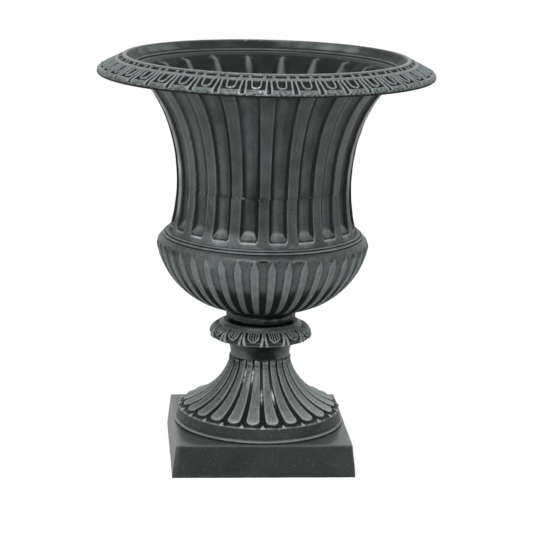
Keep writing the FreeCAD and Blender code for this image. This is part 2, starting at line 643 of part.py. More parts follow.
# ---------------------------------------------------------------- rim
def make_rim_ring():
    """Overhanging ring: seat on the flange, skirt round it, hollow underside, nose, lip and cove."""
    seat_inner = (RIM_INNER_RADIUS, FLANGE_TOP)
    skirt_inner = TOP_FLANGE_RADIUS + CLEARANCE
    skirt_base = FLANGE_TOP - SKIRT_DEPTH
    skirt_outer = skirt_inner + SKIRT_WIDTH
    nose_level = FLANGE_TOP - RIM_DROP
    edge_base = (RIM_RADIUS - RIM_EDGE, nose_level - RIM_EDGE)
    hollow_edge = (RIM_NOSE_RADIUS - RIM_EDGE, nose_level - RIM_EDGE)
    nose_top = (RIM_NOSE_RADIUS, nose_level + RIM_NOSE_RISE)
    lip = (RIM_LIP_RADIUS, CREST - RIM_LIP_DROP)
    crest_outer = (CREST_OUTER_RADIUS, CREST)
    slope = (lip[1] - nose_top[1]) / (lip[0] - nose_top[0])
    under_lip = (skirt_outer, nose_top[1] + slope * (skirt_outer - nose_top[0]) - RIM_THICKNESS)
    cove_base = (RIM_INNER_RADIUS, FLANGE_TOP + RIM_STEP)
    crest_inner = (CREST_RADIUS, CREST)
    edges = chain(seat_inner, (skirt_inner, FLANGE_TOP), (skirt_inner, skirt_base),
                  (skirt_outer, skirt_base), under_lip, hollow_edge, edge_base)
    edges.append(arc(edge_base, (RIM_RADIUS - 0.3 * RIM_EDGE, nose_level - 0.7 * RIM_EDGE),
                     (RIM_RADIUS, nose_level)))
    edges.append(smooth(flare((RIM_RADIUS, nose_level), nose_top, RIM_NOSE_SWEEP)))
    edges += chain(nose_top, lip, crest_outer, crest_inner)
    edges.append(half_round(crest_inner, cove_base, COVE_DEPTH))
    edges += chain(cove_base, seat_inner)
    ring = turned(edges)
    depth = RIM_SCREW_REACH + RIM_HOLE_SPARE
    return drill_holes(ring, RIM_SCREW_RADIUS + THREAD_CLEARANCE, FLANGE_TOP - OVERRUN, FLANGE_TOP + depth,
                       RIM_SCREW_CIRCLE, RIM_SCREW_COUNT, RIM_SCREW_TURN)


# ---------------------------------------------------------------- fasteners in place
def make_rim_screws():
    screw = bolt(RIM_SCREW_RADIUS, FLANGE_BASE, FLANGE_TOP + RIM_SCREW_REACH)
    return on_circle(screw, RIM_SCREW_CIRCLE, RIM_SCREW_COUNT, RIM_SCREW_TURN)


def waist_group(shape):
    return on_circle(shape, WAIST_BOLT_CIRCLE, WAIST_BOLT_COUNT, WAIST_BOLT_TURN)


def make_waist_bolts():
    end = WAIST - WAIST_FLANGE - 2 * WAIST_BOLT_RADIUS * NUT_HEIGHT - BOLT_TAIL
    return waist_group(bolt(WAIST_BOLT_RADIUS, WAIST + WAIST_FLANGE + SMALL_WASHER, end))


def make_waist_washers():
    outer = WAIST_BOLT_RADIUS * WASHER_WIDTH
    return waist_group(washer(WAIST_BOLT_RADIUS, outer, WAIST + WAIST_FLANGE, SMALL_WASHER))


def make_waist_nuts():
    base = WAIST - WAIST_FLANGE - 2 * WAIST_BOLT_RADIUS * NUT_HEIGHT
    return waist_group(nut(WAIST_BOLT_RADIUS, base))


def centre_nut_base():
    return PEDESTAL_PLATE_BASE - CENTRE_WASHER_THICKNESS - 2 * CENTRE_BOLT_RADIUS * NUT_HEIGHT


def make_centre_bolt():
    bearing = BOWL_FLOOR_LEVEL + SEAL_THICKNESS + CENTRE_WASHER_THICKNESS
    return [bolt(CENTRE_BOLT_RADIUS, bearing, centre_nut_base() - BOLT_TAIL)]


def make_sealing_washer():
    return [washer(CENTRE_BOLT_RADIUS, SEAL_RADIUS, BOWL_FLOOR_LEVEL, SEAL_THICKNESS)]


def make_head_washer():
    base = BOWL_FLOOR_LEVEL + SEAL_THICKNESS
    return [washer(CENTRE_BOLT_RADIUS, CENTRE_WASHER_RADIUS, base, CENTRE_WASHER_THICKNESS)]


def make_lower_washer():
    base = PEDESTAL_PLATE_BASE - CENTRE_WASHER_THICKNESS
    return [washer(CENTRE_BOLT_RADIUS, CENTRE_WASHER_RADIUS, base, CENTRE_WASHER_THICKNESS)]


def plinth_group(shape):
    return on_circle(shape, PLINTH_BOLT_CIRCLE, PLINTH_BOLT_COUNT, PLINTH_BOLT_TURN)


def make_plinth_bolts():
    bearing = PLINTH_PLATE_BASE - SMALL_WASHER
    return plinth_group(bolt(PLINTH_BOLT_RADIUS, bearing, PLINTH_TOP + PLINTH_BOLT_REACH))


def make_plinth_washers():
    outer = PLINTH_BOLT_RADIUS * WASHER_WIDTH
    base = PLINTH_PLATE_BASE - SMALL_WASHER
    return plinth_group(washer(PLINTH_BOLT_RADIUS, outer, base, SMALL_WASHER))


# ---------------------------------------------------------------- the urn
def main():
    os.makedirs("parts", exist_ok=True)
    pieces = {
        "plinth": [make_plinth()],
        "pedestal": [make_pedestal()],
        "lower_bowl": [make_lower_bowl()],
        "upper_body": [make_upper_body()],
        "rim_ring": [make_rim_ring()],
        "rim_screws": make_rim_screws(),
        "waist_bolts": make_waist_bolts(),
        "waist_washers": make_waist_washers(),
        "waist_nuts": make_waist_nuts(),
        "centre_bolt": make_centre_bolt(),
        "bolt_head_washer": make_head_washer(),
        "sealing_washer": make_sealing_washer(),
        "lower_washer": make_lower_washer(),
        "centre_nut": [nut(CENTRE_BOLT_RADIUS, centre_nut_base())],
        "plinth_bolts": make_plinth_bolts(),
        "plinth_washers": make_plinth_washers(),
    }
    for name, solids in pieces.items():
        shape = solids[0] if len(solids) == 1 else Part.makeCompound(solids)
        shape.exportStep(os.path.join("parts", name + ".step"))
        print(name, len(shape.Solids), shape.isValid(), round(shape.Volume / 1000, 1), "cm3")


main()
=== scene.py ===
"""A cast-iron garden urn, dressed for its portrait.

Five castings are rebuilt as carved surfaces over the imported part: the plinth, the pedestal with its
knop and tongues, the ribbed bowl, the fluted body and the egg-and-dart rim. The bolts and washers
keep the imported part's own shapes. Lengths are millimetres until a mesh is written, angles degrees.
The urn turns about Z, and angles run from the front, -Y, towards +X.
"""

from __future__ import annotations

import logging
import math
from dataclasses import dataclass, field
from enum import Enum
from typing import Callable, Optional, Sequence, Union

import bpy
import numpy as np
from mathutils import Matrix, Vector


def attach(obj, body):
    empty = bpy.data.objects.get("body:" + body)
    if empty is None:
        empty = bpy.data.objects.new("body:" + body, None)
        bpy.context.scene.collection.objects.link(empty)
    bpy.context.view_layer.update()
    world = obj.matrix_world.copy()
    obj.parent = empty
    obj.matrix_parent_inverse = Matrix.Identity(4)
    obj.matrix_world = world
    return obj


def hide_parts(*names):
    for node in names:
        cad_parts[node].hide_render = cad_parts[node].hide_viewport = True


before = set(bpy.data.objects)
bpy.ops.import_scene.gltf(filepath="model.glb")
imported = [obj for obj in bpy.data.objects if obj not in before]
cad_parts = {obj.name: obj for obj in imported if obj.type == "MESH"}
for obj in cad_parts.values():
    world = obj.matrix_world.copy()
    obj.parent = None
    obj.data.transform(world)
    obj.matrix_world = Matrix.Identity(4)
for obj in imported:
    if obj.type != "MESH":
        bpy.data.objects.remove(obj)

LOG = logging.getLogger("urn")
METRE = 0.001
JOINT_WIDTH = 9.8
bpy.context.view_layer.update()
Array = np.ndarray
Spots = tuple[tuple[float, float, float], ...]


# ---------------------------------------------------------------- curves and fields
def held(value: Array, top: float = 1.0) -> Array:
    """The value, held to 0..top."""
    return np.clip(value, 0.0, top)


def ramp(value: Array, low: float, high: float) -> Array:
    """Smooth step: 3t^2 - 2t^3 of t = (value - low) / (high - low), held to 0..1.

    Args:
        value: where to read the step.
        low: value at which the step starts.
        high: value at which it is complete; below low, it falls instead.

    Returns:
        The step, in the shape of value.
    """
    share = held((value - low) / (high - low))
    return share * share * (3.0 - 2.0 * share)


def bell(value: Array, width: float) -> Array:
    """Bell of height 1: exp(-(value / width)^2)."""
    return np.exp(-(value / width) ** 2)


def spots(angle: Array, *bells: tuple[float, float, float]) -> Array:
    """Sum of bells round the axis, each given by its middle, its width and its height."""
    return sum(height * bell(angle - middle, width) for middle, width, height in bells)


def scatter(index: Array, seed: float) -> Array:
    """A repeatable number in -1..1 for each index: the fraction of a very tall sine, doubled, less 1."""
    wave = np.sin(index * 12.9898 + seed * 78.233) * 43758.5453
    return 2.0 * (wave - np.floor(wave)) - 1.0


def lumps(x: Array, y: Array, z: Array, size: float, seed: int, waves: int = 9) -> Array:
    """Soft unevenness: the mean of sine waves in scattered directions, about -1..1.

    Args:
        x: place across.
        y: place in depth.
        z: height.
        size: length of the lumps.
        seed: which set of directions and phases.
        waves: how many waves are added.

    Returns:
        The unevenness at each place.
    """
    dice = np.random.RandomState(seed)
    ways = dice.normal(size=(waves, 3))
    ways *= (dice.uniform(0.6, 1.6, waves) * 2.0 * math.pi / size / np.linalg.norm(ways, axis=1))[:, None]
    phases = dice.uniform(0.0, 2.0 * math.pi, waves)
    total = np.zeros(np.broadcast(x, y, z).shape)
    for way, phase in zip(ways, phases):
        total += np.sin(way[0] * x + way[1] * y + way[2] * z + phase)
    return total * 1.6 / waves


def flare(start: tuple[float, float], end: tuple[float, float], sweep: float, slope: float = 0.0,
          steps: int = 60) -> Array:
    """Stretched arc of an ellipse that leaves start upright.

    With the angle from 0 to sweep, the height goes as sin(angle), the radius as 1 - cos(angle), and
    slope is the share of the radial travel that goes straight.

    Args:
        start: radius and height where the arc is upright.
        end: radius and height of the other end.
        sweep: angle of the ellipse that is used.
        slope: share of the straight slope.
        steps: spans of the curve.

    Returns:
        Radius and height of each point.
    """
    angle = np.radians(sweep * np.arange(steps + 1) / steps)
    rise = np.sin(angle) / math.sin(math.radians(sweep))
    bend = (1.0 - np.cos(angle)) / (1.0 - math.cos(math.radians(sweep)))
    reach = slope * rise + (1.0 - slope) * bend
    return np.stack([start[0] + (end[0] - start[0]) * reach, start[1] + (end[1] - start[1]) * rise], 1)


def bow(start: tuple[float, float], end: tuple[float, float], bulge: float, steps: int = 12) -> Array:
    """Arc from start to end that stands out by bulge along +R at its middle: a parabola 4t(1 - t)."""
    share = np.linspace(0.0, 1.0, steps + 1)
    radius = start[0] + (end[0] - start[0]) * share + 4.0 * bulge * share * (1.0 - share)
    return np.stack([radius, start[1] + (end[1] - start[1]) * share], 1)


def along(points: Array) -> Array:
    """Length of the outline from its first point to each point."""
    return np.concatenate([[0.0], np.cumsum(np.linalg.norm(np.diff(points, axis=0), axis=1))])


def outward(points: Array) -> Array:
    """Unit normals of an outline: its direction (dr, dz) turned to (dz, -dr)."""
    way = np.gradient(points, axis=0)
    way /= np.linalg.norm(way, axis=1)[:, None]
    return np.stack([way[:, 1], -way[:, 0]], 1)


def pace(points: Array, spacing: float, hold: float = 0.35) -> Array:
    """The same outline in even paces, with a short pace on each side of every corner to keep it crisp.

    Args:
        points: corners, or the close points of a curve.
        spacing: longest pace.
        hold: length of the short paces.

    Returns:
        Points from the first to the last one given.
    """
    lengths = along(points)
    way = np.diff(points, axis=0)
    turn = np.abs(np.diff(np.unwrap(np.arctan2(way[:, 1], way[:, 0]))))
    corners = [0.0, *lengths[1:-1][turn > 0.3], lengths[-1]]
    stops: list[Array] = []
    for low, high in zip(corners, corners[1:]):
        keep = min(hold, (high - low) / 4.0)
        count = max(1, int(round((high - low - 2.0 * keep) / spacing)))
        inner = np.linspace(low + keep, high - keep, count + 1)
        stops.append(np.concatenate([[low], inner]))
    where = np.concatenate([*stops, [lengths[-1]]])
    return np.stack([np.interp(where, lengths, points[:, 0]), np.interp(where, lengths, points[:, 1])], 1)


# ---------------------------------------------------------------- carved rings
@dataclass
class Place:
    """Where a carving is read: a grid of rows along an outline and columns round the axis.

    Args:
        angle: degrees from the front, one per column.
        travel: length along the outline from its start, one per row.
        radius: radius of each row.
        height: height of each row.
        length: length of the whole stretch.
    """

    angle: Array
    travel: Array
    radius: Array
    height: Array
    length: float

    def unit(self, count: int, turn: float) -> tuple[Array, Array]:
        """Nearest of count equal units, the first at turn.

        Args:
            count: units round the axis.
            turn: angle of one unit's middle.

        Returns:
            Each unit's number, and the arc length from its middle in millimetres.
        """
        pitch = 360.0 / count
        number = np.round((self.angle - turn) / pitch)
        offset = np.radians(self.angle - turn - number * pitch)
        return np.mod(number, count)[None, :], offset[None, :] * self.radius[:, None]

    def half_pitch(self, count: int) -> Array:
        """Half the arc length of one of count equal units, on each row."""
        return math.pi * self.radius[:, None] / count

    def turned(self, middle: float = 0.0) -> Array:
        """Degrees from middle to each column, in -180..180."""
        return (self.angle[None, :] - middle + 180.0) % 360.0 - 180.0

    def level(self) -> Array:
        """Height over the whole grid."""
        return self.height[:, None] + 0.0 * self.angle[None, :]

    def ease(self, low: float, high: float) -> Array:
        """Smooth step along the outline, from low to high on each row."""
        return ramp(self.travel, low, high)[:, None]

    def lumps(self, size: float, seed: int) -> Array:
        """Soft unevenness over the grid, in lumps of that size."""
        turn = np.radians(self.angle)[None, :]
        radius = self.radius[:, None]
        return lumps(radius * np.sin(turn), -radius * np.cos(turn), self.level(), size, seed)


@dataclass
class Carving:
    """Relief over a stretch.

    Args:
        height: how far it stands out of the outline.
        rub_and_highlight: rubbed paint in 0..1, and bare metal up to 2; painted highlights, sheens and glints are
            carried in it too.
        grime_and_shade: grime in 0..1, together with painted shade.
    """

    height: Array
    rub_and_highlight: Array
    grime_and_shade: Array

    @classmethod
    def plain(cls, place: Place, rub_and_highlight: float = 0.0, grime_and_shade: float = 0.0) -> Carving:
        """A smooth surface with the same paint all over."""
        empty = np.zeros((place.travel.size, place.angle.size))
        return cls(empty, empty + rub_and_highlight, empty + grime_and_shade)

    @classmethod
    def limited(cls, height: Array, rub_and_highlight: Array, grime_and_shade: Array, brightest: float = 1.0) -> Carving:
        """A carving with its rubbed paint and painted highlights held to 0..brightest, and its grime and painted shade
        to 0..1.
        """
        return cls(height, held(rub_and_highlight, brightest), held(grime_and_shade))


Carve = Callable[[Place], Carving]


def evenly_dark(grime_and_shade: float) -> Carve:
    """A carver for a smooth surface with the same grime and painted shade all over."""
    return lambda place: Carving.plain(place, 0.0, grime_and_shade)


@dataclass
class Stretch:
    """One stretch of a casting's closed outline.

    Args:
        points: outline, radius and height.
        columns: faces round the axis.
        spacing: pace of the rows.
        carve: what is carved on it.
        hold: short pace at its corners.
        seam: height of a flat joint face in it, whose rows the carving only moves along R.
        calm: where it changes little along the outline, from and to, and every how many rows one is kept there.
    """

    points: Array
    columns: int
    spacing: float
    carve: Carve = Carving.plain
    hold: float = 0.35
    seam: float = -1.0
    calm: tuple[float, float, int] = (0.0, 0.0, 1)

    def rows(self) -> Array:
        """Radius and height of each row of vertices."""
        outline = pace(self.points, self.spacing, self.hold)
        lengths = along(outline)
        busy = (lengths <= self.calm[0]) | (lengths >= self.calm[1])
        return outline[busy | (np.arange(lengths.size) % self.calm[2] == 0)]


def crest_of(height: Array, reach: int = 3, scale: float = 0.5) -> Array:
    """How far each place stands above its surroundings: the height less its mean over a small window.

    Args:
        height: relief over the grid.
        reach: how many rows and columns the window reaches to each side.
        scale: the difference that counts as 1.

    Returns:
        The difference in -1..1.
    """
    window = 2 * reach + 1
    rows = np.pad(height, ((reach, reach), (0, 0)), mode="edge")
    blurred = sum(rows[shift:shift + height.shape[0]] for shift in range(window)) / window
    blurred = sum(np.roll(blurred, shift, 1) for shift in range(-reach, reach + 1)) / window
    return np.clip((height - blurred) / scale, -1.0, 1.0)


def turn_stretch(stretch: Stretch) -> dict[str, Array]:
    """Turns one stretch about Z: (R sin a, -R cos a, z), with the relief added along the outline's normal.

    Args:
        stretch: what is turned.

    Returns:
        Its vertices as corners, and its paint by attribute name, all in rows and columns.
    """
    outline = stretch.rows()
    normal = outward(outline)
    normal[np.abs(outline[:, 1] - stretch.seam) < 0.02] = (1.0, 0.0)
    angle = 360.0 * np.arange(stretch.columns) / stretch.columns
    lengths = along(outline)
    place = Place(angle, lengths, outline[:, 0], outline[:, 1], float(lengths[-1]))
    carving = stretch.carve(place)
    radius = outline[:, :1] + normal[:, :1] * carving.height
    level = outline[:, 1:] + normal[:, 1:] * carving.height
    turn = np.radians(angle)[None, :]
    corners = np.stack([radius * np.sin(turn), -radius * np.cos(turn), level], -1)
    return {"corners": corners, "rub_and_highlight": carving.rub_and_highlight, "grime_and_shade": carving.grime_and_shade, "crest": crest_of(carving.height)}


def stitch(low: Array, high: Array) -> Array:
    """Faces between two rows of vertex numbers. One row may have a whole number of times the other's columns.

    Args:
        low: vertex numbers of the first row.
        high: vertex numbers of the next row.

    Returns:
        Faces, one per column of the coarser row.
    """
    few = min(low.size, high.size)

    def spans(row: Array) -> Array:
        """Vertex numbers of each coarse column, its far side included."""
        share = row.size // few
        return np.concatenate([row.reshape(few, share), np.roll(row, -share).reshape(few, share)[:, :1]], 1)

    return np.concatenate([spans(low), spans(high)[:, ::-1]], 1)


def add(name: str, data: bpy.types.ID) -> bpy.types.Object:
    """A new object with that data, linked to the scene."""
    made = bpy.data.objects.new(name, data)
    bpy.context.scene.collection.objects.link(made)
    return made


def quads_between(low: Array, high: Array) -> Array:
    """Four-sided faces between rows of vertex numbers and the rows that follow them, closed round the axis."""
    return np.stack([low, np.roll(low, -1, 1), np.roll(high, -1, 1), high], -1).reshape(-1, 4)


def mesh_piece(name: str, corners: Array, faces: Sequence[Array], paint: dict[str, Array]) -> bpy.types.Object:
    """Writes vertices, faces and paint attributes to a new smooth-shaded object at the origin.

    Args:
        name: the object's name.
        corners: vertices in millimetres.
        faces: arrays of vertex numbers, one array per number of sides.
        paint: values per vertex, by attribute name.

    Returns:
        The object, linked to the scene.
    """
    mesh = bpy.data.meshes.new(name)
    loops = np.concatenate([group.ravel() for group in faces]).astype(np.int32)
    sides = np.concatenate([np.full(len(group), group.shape[1]) for group in faces])
    mesh.vertices.add(len(corners))
    mesh.vertices.foreach_set("co", (corners * METRE).astype(np.float32).ravel())
    mesh.loops.add(loops.size)
    mesh.loops.foreach_set("vertex_index", loops)
    mesh.polygons.add(sides.size)
    mesh.polygons.foreach_set("loop_start", np.concatenate([[0], np.cumsum(sides)[:-1]]).astype(np.int32))
    mesh.update(calc_edges=True)
    mesh.polygons.foreach_set("use_smooth", np.ones(sides.size, bool))
    for label, values in paint.items():
        mesh.attributes.new(label, "FLOAT", "POINT").data.foreach_set("value", values.astype(np.float32).ravel())
    mesh.validate()
    return add(name, mesh)


def ring_piece(name: str, stretches: Sequence[Stretch]) -> bpy.types.Object:
    """Turns a closed outline, given as stretches that follow each other, into one closed carved ring.

    Each stretch gives all its rows but the last, which is the next stretch's first.

    Args:
        name: the object's name.
        stretches: the outline's stretches, in order, with the material on their left.

    Returns:
        The object.
    """
    blocks = [turn_stretch(stretch) for stretch in stretches]
    numbers: list[Array] = []
    start = 0
    for block in blocks:
        grid = block["crest"][:-1]
        numbers.append(start + np.arange(grid.size).reshape(grid.shape))
        start += grid.size
    by_sides: dict[int, list[Array]] = {}
    for index, grid in enumerate(numbers):
        follower = numbers[(index + 1) % len(numbers)]
        by_sides.setdefault(4, []).append(quads_between(grid[:-1], grid[1:]))
        seam = stitch(grid[-1], follower[0])
        by_sides.setdefault(seam.shape[1], []).append(seam)
    paint = {label: np.concatenate([block[label][:-1].ravel() for block in blocks]) for label in blocks[0]}
    corners = paint.pop("corners").reshape(-1, 3)
    return mesh_piece(name, corners, [np.concatenate(group) for group in by_sides.values()], paint)


# ---------------------------------------------------------------- shader expressions
Operand = Union["Wave", float, int]


class Tree:
    """A node tree, with short ways to add what the finishes use."""

    def __init__(self, tree: bpy.types.NodeTree) -> None:
        """Empties the tree."""
        self.tree = tree
        tree.nodes.clear()

    def node(self, kind: str, settings: Optional[dict[str, object]] = None, **sockets: object) -> bpy.types.Node:
        """Adds a node: its settings first, then its sockets.

        Args:
            kind: the node's type.
            settings: properties such as an operation.
            sockets: values, waves or output sockets by input name, with underscores for spaces; a name
                such as i1 gives an input by its number.

        Returns:
            The node.
        """
        made = self.tree.nodes.new(kind)
        for label, value in (settings or {}).items():
            setattr(made, label, value)
        for label, value in sockets.items():
            key = int(label[1:]) if label[0] == "i" and label[1:].isdigit() else label.replace("_", " ")
            socket = made.inputs[key]
            if isinstance(value, Wave):
                value = value.socket
            if isinstance(value, bpy.types.NodeSocket):
                self.tree.links.new(value, socket)
            else:
                socket.default_value = value
        return made

    def read(self, socket: bpy.types.NodeSocket) -> Wave:
        """A number that varies over the surface."""
        return Wave(self, socket)

    def place(self, kind: str = "Object") -> bpy.types.NodeSocket:
        """Where on the object a point lies."""
        return self.node("ShaderNodeTexCoord").outputs[kind]

    def noise(self, place: bpy.types.NodeSocket, scale: float, **sockets: float) -> Wave:
        """Noise in 0..1 at that place, with scale features to a metre."""
        return self.read(self.node("ShaderNodeTexNoise", None, Vector=place, Scale=scale, **sockets).outputs[0])

    def bump(self, height: Wave, distance: float, **sockets: object) -> bpy.types.NodeSocket:
        """Normals of a surface raised by height times distance, in metres."""
        made = self.node("ShaderNodeBump", None, Distance=distance, Height=height, **sockets)
        return made.outputs[0]

    def blend(self, factor: Operand, first: object, second: object) -> bpy.types.NodeSocket:
        """Mixes two colours: first at factor 0, second at 1."""
        mix = self.node("ShaderNodeMix", {"data_type": "RGBA"}, i0=factor, i6=first, i7=second)
        return mix.outputs[2]

    def layers(self, base: object, *coats: tuple[Operand, object]) -> object:
        """Colours laid over a base in order, each given by its share and itself."""
        for share, colour in coats:
            base = self.blend(share, base, colour)
        return base


def arithmetic(operation: str, swapped: bool = False) -> Callable[[Wave, Operand], Wave]:
    """A method of Wave for one operator; a swapped one takes the other operand first."""
    def apply(wave: Wave, other: Operand) -> Wave:
        """The operation as a Math node."""
        return wave.math(operation, other, wave) if swapped else wave.math(operation, wave, other)

    return apply


@dataclass(frozen=True)
class Wave:
    """A socket that holds one number. Arithmetic on it adds Math nodes.

    Args:
        tree: the tree that it is in.
        socket: the socket itself.
    """

    tree: Tree
    socket: bpy.types.NodeSocket

    def math(self, operation: str, first: Operand, second: Operand = 0.0, clamp: bool = False) -> Wave:
        """One Math node."""
        made = self.tree.node("ShaderNodeMath", {"operation": operation, "use_clamp": clamp}, i0=first, i1=second)
        return Wave(self.tree, made.outputs[0])

    __add__ = __radd__ = arithmetic("ADD")
    __mul__ = __rmul__ = arithmetic("MULTIPLY")
    __sub__, __rsub__ = arithmetic("SUBTRACT"), arithmetic("SUBTRACT", swapped=True)

    def held(self) -> Wave:
        """The same, held to 0..1."""
        return self.math("ADD", self, 0.0, True)

    def step(self, low: float, high: float) -> Wave:
        """Smooth step from low to high, as ramp() on arrays."""
        made = self.tree.node("ShaderNodeMapRange", {"interpolation_type": "SMOOTHSTEP"}, Value=self, From_Min=low,
                              From_Max=high)
        return Wave(self.tree, made.outputs[0])


Colour = tuple[float, float, float, float]
WHITE: Colour = (1.0, 1.0, 1.0, 1.0)


def shade(red: float, green: float, blue: float) -> Colour:
    """Linear colour from its 0..255 screen values."""
    def linear(value: float) -> float:
        """One channel."""
        share = value / 255.0
        return share / 12.92 if share <= 0.04045 else ((share + 0.055) / 1.055) ** 2.4

    return (linear(red), linear(green), linear(blue), 1.0)


# ---------------------------------------------------------------- finishes
@dataclass(frozen=True)
class Finish:
    """What a surface is made of and how it looks.

    Args:
        name: the material's name.
    """

    name: str

    def surface(self, tree: Tree) -> bpy.types.Node:
        """The shader of the surface."""
        raise NotImplementedError

    def material(self) -> bpy.types.Material:
        """A new material with that surface."""
        made = bpy.data.materials.new(self.name)
        made.use_nodes = True
        tree = Tree(made.node_tree)
        tree.node("ShaderNodeOutputMaterial", None, Surface=self.surface(tree).outputs[0])
        return made


@dataclass(frozen=True)
class PaintedIron(Finish):
    """Cast iron painted near black and rubbed with pewter, with a sandy skin; painted highlights, glints and painted
    shade are laid on in the same colours.

    Args:
        name: the material's name.
        paint: main paint colour.
        cloud: second paint colour, in soft clouds over the first.
        pewter_and_highlight: colour rubbed on raised carving, and the colour of the painted highlights.
        soot_and_shade_colour: colour of the grime and of the painted shade in the recesses.
        dust: colour of the settled dust.
        rub_and_highlight_amount: how much pewter and painted highlight is on it, 0..1.
        dusting: how much dust is on it, 0..1.
        grain: size of the sand grain in metres.
        grain_height: height of the grain in metres.
        skin_height: height of the soft unevenness in metres.
        roughness: roughness of the paint.
        edge_wear: how strongly raised edges are worn.
        coat: weight of the satin coat.
        bare_metal_and_glint: colour of bright metal at chips and of painted glints, where the rubbed value is over 1.
        warm: brownish tone of some streaks.
        cool: bluish tone of others.
        flecks: how many light grains show.
    """

    paint: Colour = shade(52, 58, 55)
    cloud: Colour = shade(66, 73, 70)
    pewter_and_highlight: Colour = shade(128, 137, 138)
    soot_and_shade_colour: Colour = shade(15, 25, 20)
    dust: Colour = shade(92, 88, 76)
    rub_and_highlight_amount: float = 0.8
    dusting: float = 0.12
    grain: float = 0.0011
    grain_height: float = 0.00012
    skin_height: float = 0.0006
    roughness: float = 0.42
    edge_wear: float = 0.3
    flecks: float = 0.1
    coat: float = 0.3
    bare_metal_and_glint: Colour = shade(206, 212, 212)
    warm: Colour = shade(64, 59, 53)
    cool: Colour = shade(58, 68, 74)

    def surface(self, tree: Tree) -> bpy.types.Node:
        """Paint in clouds, pewter where it was rubbed and where highlights are painted, soot colour where there is
        grime and painted shade, bright metal at chips and painted glints, dust and grain.

        Args:
            tree: the material's node tree.

        Returns:
            The shader.
        """
        place = tree.place()

        def noise(size: float, detail: float = 3.0, kind: float = 0.55) -> Wave:
            """Noise in 0..1 whose features are about size metres."""
            return tree.noise(place, 0.6 / size, Detail=detail, Roughness=kind)

        def run(size: float, shift: float) -> Wave:
            """Noise in 0..1 drawn out to upright streaks."""
            moved = tree.node("ShaderNodeVectorMath", {"operation": "MULTIPLY_ADD"}, i0=place, i1=(1.0, 1.0, 0.16),
                              i2=(shift, 0.0, 0.0)).outputs[0]
            return tree.noise(moved, 0.6 / size, Detail=4.0, Roughness=0.6)

        def painted(label: str) -> Wave:
            """A value that the mesh carries."""
            return tree.read(tree.node("ShaderNodeAttribute", {"attribute_name": label}).outputs["Fac"])

        rub_and_highlight, grime_and_shade, crest = painted("rub_and_highlight"), painted("grime_and_shade"), painted("crest")
        clouds = noise(0.028, 4.0)
        patches = noise(0.007, 4.0, 0.62)
        grain = noise(self.grain, 3.0, 0.6)
        specks = noise(self.grain * 1.3, 2.0, 0.5)
        # Rubbed paint and painted highlights come in one value, grime and painted shade in another; values over 1 are
        # chips and painted glints.
        rubbed_and_lit = rub_and_highlight * (0.6 + patches * 0.4 + run(0.01, 7.0) * 0.4 + (specks - 0.5) * 0.3)
        worn_and_lit = (rubbed_and_lit + crest * self.edge_wear - grime_and_shade * 0.3).held()
        pewter_and_highlight_share = worn_and_lit * self.rub_and_highlight_amount
        soot_and_shade = (grime_and_shade * 1.1 - crest * self.edge_wear + (patches - 0.5) * 0.25).step(0.02, 0.85)
        dusty = (noise(0.045, 3.0).step(0.48, 0.75) * patches.step(0.3, 0.7)) * self.dusting
        base = tree.layers(
            self.paint,
            (clouds.step(0.34, 0.68), self.cloud),
            (run(0.016, 0.0).step(0.5, 0.72) * 0.6, self.warm),
            (run(0.02, 3.0).step(0.5, 0.72) * 0.6, self.cool),
            (soot_and_shade, self.soot_and_shade_colour),
            (pewter_and_highlight_share, self.pewter_and_highlight),
            (dusty, self.dust),
            (specks.step(0.6, 0.76) * self.flecks, self.pewter_and_highlight),
            (specks.step(0.42, 0.3) * 0.35, self.soot_and_shade_colour),
            (rub_and_highlight.step(1.05, 1.9), self.bare_metal_and_glint))
        rough = self.roughness + (patches - 0.5) * 0.22 + grime_and_shade * 0.22 + pewter_and_highlight_share * 0.06
        skin = tree.bump(grain + specks * 0.7, self.grain_height, Strength=1.0)
        return tree.node("ShaderNodeBsdfPrincipled", None, Base_Color=base, Roughness=rough.held(),
                         Normal=tree.bump(patches, self.skin_height, Strength=1.0, Normal=skin), IOR=1.5,
                         Specular_IOR_Level=0.14, Coat_Weight=(1.0 - soot_and_shade * 0.75) * self.coat, Coat_Roughness=0.18)


@dataclass(frozen=True)
class ZincSteel(Finish):
    """Zinc-plated bolts and washers, dulled by the weather.

    Args:
        name: the material's name.
        zinc: colour of the bright plating.
        dull: colour of its dull patches.
        stain: colour of the rust stains.
    """

    name: str = "zinc_plated_steel"
    zinc: Colour = shade(150, 152, 150)
    dull: Colour = shade(96, 97, 93)
    stain: Colour = shade(88, 70, 54)

    def surface(self, tree: Tree) -> bpy.types.Node:
        """Bright zinc, dull patches and a little rust stain."""
        place = tree.place()
        patches, grain = tree.noise(place, 260.0, Detail=4.0), tree.noise(place, 1500.0, Detail=2.0)
        base = tree.layers(self.zinc, (patches.step(0.35, 0.7), self.dull), (patches.step(0.62, 0.8) * 0.7, self.stain))
        return tree.node("ShaderNodeBsdfPrincipled", None, Base_Color=base,
                         Metallic=1.0 - patches.step(0.6, 0.8) * 0.8, Roughness=0.34 + patches * 0.3,
                         Normal=tree.bump(grain, 0.00005, Strength=1.0))


@dataclass(frozen=True)
class MouldedRubber(Finish):
    """Black moulded rubber with a faint bloom.

    Args:
        name: the material's name.
        black: colour of the rubber.
        bloom: colour of the bloom.
    """

    name: str = "moulded_rubber"
    black: Colour = shade(26, 26, 26)
    bloom: Colour = shade(52, 52, 50)

    def surface(self, tree: Tree) -> bpy.types.Node:
        """Black with grey bloom in patches."""
        patches = tree.noise(tree.place(), 180.0, Detail=4.0)
        return tree.node("ShaderNodeBsdfPrincipled", None, Base_Color=tree.blend(patches, self.black, self.bloom),
                         Roughness=0.6 + patches * 0.3, Normal=tree.bump(patches, 0.0001, Strength=0.6))


